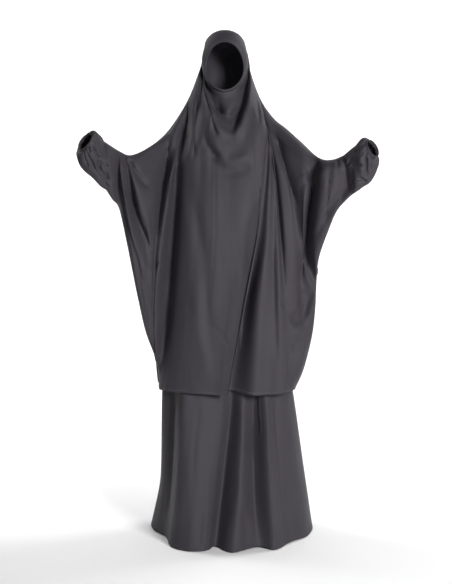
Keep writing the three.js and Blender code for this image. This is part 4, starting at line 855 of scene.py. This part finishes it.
# Sleeves and cuffs
# Rings to the cuff: highest point, lowest point (x, z), depth, half thickness, how far it turns forward.
leftSleeve = [
    ((-396, -391), (-406, -541), -224, 47, 3), ((-401, -384), (-430, -516), -236, 48, 8),
    ((-408, -378), (-451, -498), -246, 48, 14), ((-416, -372), (-467, -474), -255, 46, 21),
    ((-422, -373), (-471, -450), -263, 42, 29), ((-419, -386), (-459, -435), -268, 32, 36),
]
rightSleeve = [
    ((401, -424), (416, -564), -224, 47, 3), ((412, -416), (437, -549), -236, 48, 8),
    ((421, -405), (456, -535), -246, 48, 14), ((432, -395), (472, -512), -255, 46, 21),
    ((443, -394), (481, -483), -263, 42, 29), ((443, -405), (472, -457), -268, 32, 36),
]
sleeves = {
    "rings": 64, "thickness": 1.5, "uneven": [(2.4, 30, 40, 2.0)],
    "seamSpread": 1.15,  # how the seam's rows are shared out round the arm
    "gatherDepth": 3.4, "gatherPower": 2.4,  # a higher power keeps the gathers nearer to the cuff
    "pleats": [(17, 0.5, 1), (25, 0.32, 2.3), (10, 0.3, 4.1)],  # number round the arm, strength, turn
    "frontSlope": 1.6, "frontShare": 0.4,  # creases are full on the front and gone at the back
    "endCalm": 0.08,  # part of the length, at both ends, over which they come in
    "seamDip": 0.8, "seamReach": 3, "cuffReach": 2.5, "seamStitch": 4, "cuffStitch": 3,
}
cuffs = {
    "around": 168, "rows": 10, "width": 10, "thickness": 2.5,
    "puckers": 34, "pucker": 0.7, "stray": 1.4, "edgePucker": 0.45,
    "turnIn": 1.6,  # mm at the edges
    "clearance": 0.3,  # mm from the sleeve's end
    "stitchDip": 0.5, "stitchReach": 0.12,  # the row of stitches through the elastic's middle
}


def ringFrame(row):
    (topX, topZ), (lowX, lowZ), y, half, turn = row
    up = np.array((topX - lowX, 0.0, topZ - lowZ)) / 2
    side = math.copysign(1, topX)
    axis = unit(up)
    angle = -math.radians(turn) * side
    depth = depthAxis * math.cos(angle) + np.cross(axis, depthAxis) * math.sin(angle)
    depth = depth + axis * (axis @ depthAxis) * (1 - math.cos(angle))
    depth = depth * half
    outward = unit(np.cross(up, depth))
    outward = outward if outward[0] * side > 0 else -outward
    centre = np.array(((topX + lowX) / 2, y, (topZ + lowZ) / 2), float)
    return centre, up, depth, outward


def pleats(angle, shift):
    return sum(strong * np.cos(count * angle + turn * shift) for count, strong, turn in sleeves["pleats"])


def sleeve(name, rows, column, shift):
    frontRows, backRows = top["frontRows"], top["backRows"]

    def dropAngle(row, count):
        return math.pi * (row / count) ** sleeves["seamSpread"]

    loop = np.concatenate([frontGrid[:, column], backGrid[-2:0:-1, column]])
    angle = np.concatenate([dropAngle(np.arange(frontRows + 1), frontRows),
                            2 * math.pi - dropAngle(np.arange(backRows - 1, 0, -1), backRows)])
    frames = [ringFrame(row) for row in rows]
    rings = [loop] + [centre + up * np.cos(angle)[:, None] - depth * np.sin(angle)[:, None]
                      for centre, up, depth, _ in frames]
    at = np.linspace(0, len(rows), sleeves["rings"] + 1)
    grid = throughEven(np.array(rings), at)
    centres = throughEven(np.array([loop.mean(0)] + [f[0] for f in frames]), at)[:, None]
    out = unit(grid - centres)
    near = (at / len(rows))[:, None]
    deep = sleeves["gatherDepth"] * near ** sleeves["gatherPower"]
    grid = grid + out * (deep * pleats(angle, shift)[None])[..., None]
    facing = clamp01(-out[..., 1] * sleeves["frontSlope"] + sleeves["frontShare"])
    settle = clamp01(near / sleeves["endCalm"]) * clamp01((1 - near) / sleeves["endCalm"])
    creases = foldPush(sleeveCreases, grid[..., 0], grid[..., 2]) * facing * clamp01(near * len(rows))
    grid = grid - out * ((creases + wornUnevenness(grid, sleeves["uneven"])) * settle)[..., None]
    normals = gridNormals(grid, True, centres)
    reach = np.linalg.norm(grid - grid[0], axis=-1)
    toCuff = np.linalg.norm(grid - grid[-1], axis=-1)
    dip = sleeves["seamDip"] * (np.exp(-((reach / sleeves["seamReach"]) ** 2))
                                + np.exp(-((toCuff / sleeves["cuffReach"]) ** 2)))
    stitchRow = np.minimum(np.abs(reach - sleeves["seamStitch"]), np.abs(toCuff - sleeves["cuffStitch"]))
    return clothWall(name, grid - normals * dip[..., None], normals, True, sleeves["thickness"], crepeCloth,
                     stitchRow)


def cuff(name, row, shift):
    centre, up, depth, outward = ringFrame(row)
    angle = np.linspace(0, 2 * math.pi, cuffs["around"], endpoint=False)
    t = np.linspace(0, 1, cuffs["rows"] + 1)[:, None]
    flat = -cuffs["stitchDip"] * np.exp(-(((t - 0.5) / cuffs["stitchReach"]) ** 2))
    spread = (softEdges(t) - 1) * cuffs["turnIn"] + casingPuckers(cuffs, angle, t, shift) + flat
    swell = 1 + spread / np.linalg.norm(depth)
    grid = (centre + up * (np.cos(angle) * swell)[..., None] - depth * (np.sin(angle) * swell)[..., None]
            + outward * (cuffs["clearance"] + t * cuffs["width"])[..., None])
    normals = gridNormals(grid, True, centre + outward * (t * cuffs["width"])[..., None])
    stitchRow = np.abs((t - 0.5) * cuffs["width"]) + 0 * angle
    return clothWall(name, grid, normals, True, cuffs["thickness"], crepeCasing, stitchRow)


leftSleeveCloth = sleeve("sleeve_left_cloth", leftSleeve, 0, 0.4)
rightSleeveCloth = sleeve("sleeve_right_cloth", rightSleeve, -1, 1.1)
leftCuffCloth = cuff("cuff_left_casing", leftSleeve[-1], 0.2)
rightCuffCloth = cuff("cuff_right_casing", rightSleeve[-1], 1.4)

# Skirt
# Lines round the skirt from the left side seam over the front: places at knee, shin and hem, hem height.
skirtLines = [
    ("left side seam", (-219, 18), (-227, 30), (-264, 62), -1712),
    ("left back lobe front", (-216, -22), (-222, -20), (-250, -2), -1722),
    ("left dark wall", (-196, -50), (-204, -58), (-214, -60), -1722),
    ("left deep valley", (-172, -74), (-186, -88), (-201, -98), -1719),
    ("left front ridge", (-147, -134), (-160, -176), (-177, -197), -1722),
    ("left front panel", (-100, -140), (-116, -202), (-128, -238), -1722),
    ("left front panel middle", (-54, -134), (-68, -194), (-82, -244), -1722),
    ("front soft slope", (-14, -122), (-38, -176), (-58, -228), -1723),
    ("front soft valley", (20, -104), (-8, -146), (-32, -198), -1719),
    ("front middle ridge", (56, -130), (44, -202), (22, -258), -1722),
    ("front right valley", (92, -100), (93, -152), (106, -206), -1717),
    ("front right ridge", (129, -128), (141, -190), (158, -228), -1722),
    ("front right ridge flank", (164, -106), (178, -152), (198, -176), -1720),
    ("right soft valley", (188, -92), (208, -128), (228, -138), -1718),
    ("right lobe", (214, -58), (248, -78), (276, -72), -1722),
    ("right side seam", (231, 0), (274, 4), (304, 22), -1719),
    ("right back lobe", (222, 46), (262, 66), (292, 92), -1722),
    ("right back valley", (186, 74), (214, 106), (232, 128), -1719),
    ("right back ridge", (162, 118), (196, 166), (222, 212), -1722),
    ("back right valley", (112, 116), (128, 162), (140, 198), -1719),
    ("back right ridge", (76, 148), (92, 208), (106, 262), -1722),
    ("back middle valley", (26, 124), (28, 172), (28, 212), -1719),
    ("back middle ridge", (-16, 152), (-22, 212), (-30, 266), -1722),
    ("back left valley", (-62, 120), (-74, 164), (-88, 202), -1719),
    ("back left ridge", (-112, 134), (-132, 188), (-150, 236), -1722),
    ("left back valley", (-146, 92), (-162, 126), (-182, 152), -1719),
    ("left back ridge", (-188, 82), (-204, 112), (-232, 144), -1722),
]
rightSeamLine = 15
skirt = {
    "frontRows": 130, "backRows": 110, "columnsPerLine": 12,
    "waistHeight": -660, "waistHalfWidth": 125, "waistHalfDepth": 97, "waistMiddle": 5,
    "kneeHeight": -1225, "shinHeight": -1520, "stations": [0, 0.53, 0.82, 1],
    "thickness": 1.5, "hemWidth": 9, "hemRise": 0.7, "seamDip": 0.8,
    "gathers": 58, "gatherDepth": 3.2, "gatherLength": 0.13, "gatherStart": 0.01,  # parts of the drop
    "uneven": [(3.0, 50, 210, 9.0), (1.0, 18, 80, 3.0)],
    "unevenStart": 0.05, "foldFacing": 0.1,  # the folds are on cloth that faces forward of this
    "lineSpacing": 12.0,  # mm from line to line, roughly, for the way to a side seam
    "seamCalm": 24,  # mm beside a side seam over which the folds come in
}
skirtFolds = [
    ("left valley crease", [(-174, -1240), (-184, -1430), (-198, -1650)], 6, 10, 9, True),
    ("front valley crease", [(22, -1236), (4, -1400), (-10, -1520), (-32, -1700)], 6, 10, 10, True),
    ("right valley crease", [(92, -1238), (93, -1400), (98, -1560), (106, -1690)], 6, 8, 9, True),
    ("ridge edge", [(133, -1228), (142, -1420), (154, -1620), (160, -1700)], -4, 9, 6, True),
    ("soft right valley", [(166, -1238), (178, -1450), (190, -1640)], 6, 8, 9, True),
    ("left panel crease", [(-92, -1240), (-104, -1400), (-110, -1560)], 2.5, 9, 10, False),
    ("low left ripple", [(-70, -1560), (-84, -1640), (-92, -1715)], 4, 10, 12, False),
    ("low middle ripple", [(56, -1600), (62, -1660), (66, -1718)], 4, 9, 10, False),
]
waistband = {
    "rows": 10, "around": 240, "height": 30, "thickness": 2.5, "clearance": 0.3,
    "puckers": 64, "pucker": 0.8, "stray": 1.6, "edgePucker": 0.4,
    "stitchIn": 0.12,  # the rows of stitches, from both edges, as a part of the height
}


def waistPlace(angle, spread):
    return np.stack([-(skirt["waistHalfWidth"] + spread) * np.cos(angle),
                     skirt["waistMiddle"] - (skirt["waistHalfDepth"] + spread) * np.sin(angle)], -1)


def skirtGrid(first, last, rows):
    i = np.linspace(first, last, (last - first) * skirt["columnsPerLine"] + 1)
    count = len(skirtLines)
    front = i <= rightSeamLine
    angle = np.where(front, math.pi * i / rightSeamLine,
                     math.pi + math.pi * (i - rightSeamLine) / (count - rightSeamLine))

    def around(pick):
        values = np.array([pick(row) for row in skirtLines], float)
        return throughEven(np.concatenate([values[-2:], values, values[:3]]), i + 2)

    waist = waistPlace(angle, 0)
    low = around(lambda row: row[4])
    v = np.broadcast_to(np.linspace(0, 1, rows + 1)[:, None], (rows + 1, len(i)))
    heights = [np.full_like(low, skirt[key]) for key in ("waistHeight", "kneeHeight", "shinHeight")]
    z = throughStations(skirt["stations"], np.array(heights + [low]), v)
    plan = [throughStations(skirt["stations"], np.stack(
        [waist[:, k]] + [around(lambda row, n=n, k=k: row[n][k]) for n in (1, 2, 3)]), v) for k in (0, 1)]
    grid = np.stack([plan[0], plan[1], z], -1)
    out = unit(grid * (1, 1, 0) - np.array((0, skirt["waistMiddle"], 0)))
    ripple = skirt["gatherDepth"] * (0.7 * np.cos(skirt["gathers"] * angle + 2 * np.sin(7 * angle))
                                     + 0.3 * np.cos(37 * angle))
    near = np.exp(-v / skirt["gatherLength"]) * clamp01(v / skirt["gatherStart"])
    grid = grid + out * (ripple * near)[..., None]
    pushed = wornUnevenness(grid, skirt["uneven"]) * clamp01(v / skirt["unevenStart"])
    facing = out[..., 1] < skirt["foldFacing"]
    pushed = pushed + foldPush(skirtFolds, grid[..., 0], grid[..., 2]) * facing
    edge = np.minimum(i - first, last - i) * skirt["lineSpacing"]
    grid = grid - out * (pushed * clamp01(edge / skirt["seamCalm"]))[..., None]
    return grid, out, edge


def skirtPanel(name, first, last, rows):
    grid, out, edge = skirtGrid(first, last, rows)
    normals = gridNormals(grid, False)
    normals = np.where((normals * out).sum(-1, keepdims=True) < 0, -normals, normals)
    normals[0] = unit(normals[0] * (1, 1, 0))
    drops = np.linalg.norm(np.diff(grid, axis=0), axis=-1)
    toHem = np.concatenate([np.cumsum(drops[::-1], 0)[::-1], np.zeros((1, grid.shape[1]))])
    toSeam = np.broadcast_to(edge, toHem.shape)
    return sewnPanel(name, grid, normals, toHem, toSeam, skirt)


def waistCasing():
    angle = np.linspace(0, 2 * math.pi, waistband["around"], endpoint=False)
    t = np.linspace(0, 1, waistband["rows"] + 1)[:, None]
    spread = softEdges(t) + casingPuckers(waistband, angle, t, 0)
    place = waistPlace(np.broadcast_to(angle, spread.shape), spread)
    z = np.broadcast_to(skirt["waistHeight"] + waistband["clearance"] + t * waistband["height"], spread.shape)
    grid = np.concatenate([place, z[..., None]], -1)
    centre = np.stack([0 * z, skirt["waistMiddle"] + 0 * z, z], -1)
    normals = gridNormals(grid, True, centre)
    fromEdge = np.minimum(np.abs(t - waistband["stitchIn"]), np.abs(t - (1 - waistband["stitchIn"])))
    stitchRow = fromEdge * waistband["height"] + 0 * angle
    return clothWall("skirt_waist_casing", grid, normals, True, waistband["thickness"], crepeCasing,
                     stitchRow)


skirtFrontCloth = skirtPanel("skirt_front_cloth", 0, rightSeamLine, skirt["frontRows"])
skirtBackCloth = skirtPanel("skirt_back_cloth", rightSeamLine, len(skirtLines), skirt["backRows"])
waistCloth = waistCasing()

# What each piece stands for, and its cut
cuts = [
    # piece, CAD node, slot, flat width and length, flat area, held, what it hangs from
    (frontCloth, "jilbab_front", "cloth", (1.1, 1.32), 1.0, "draped",
     ["face_band_cloth", "jilbab_back_cloth"]),
    (backCloth, "jilbab_back", "cloth", (1.02, 1.34), 0.98, "draped", ["face_band_cloth"]),
    (bandCloth, "face_band", "cloth", (0.46, 0.075), 0.021, "stretched", ["jilbab_back_cloth"]),
    (leftSleeveCloth, "sleeve_left", "cloth", (0.4, 0.12), 0.042, "gathered", ["jilbab_front_cloth"]),
    (rightSleeveCloth, "sleeve_right", "cloth", (0.4, 0.12), 0.042, "gathered", ["jilbab_front_cloth"]),
    (leftCuffCloth, "cuff_left", "elastic_casing", (0.27, 0.01), None, "gathered", ["sleeve_left_cloth"]),
    (rightCuffCloth, "cuff_right", "elastic_casing", (0.27, 0.01), None, "gathered", ["sleeve_right_cloth"]),
    (skirtFrontCloth, "skirt_front", "cloth", (0.86, 1.1), 0.7, "hung", ["skirt_waist_casing"]),
    (skirtBackCloth, "skirt_back", "cloth", (0.86, 1.1), 0.68, "hung", ["skirt_waist_casing"]),
    (waistCloth, "skirt_waistband", "elastic_casing", (0.74, 0.03), None, "gathered", []),
]
for piece, node, slot, flat, area, held, restsOn in cuts:
    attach(piece, "root")
    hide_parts(node)
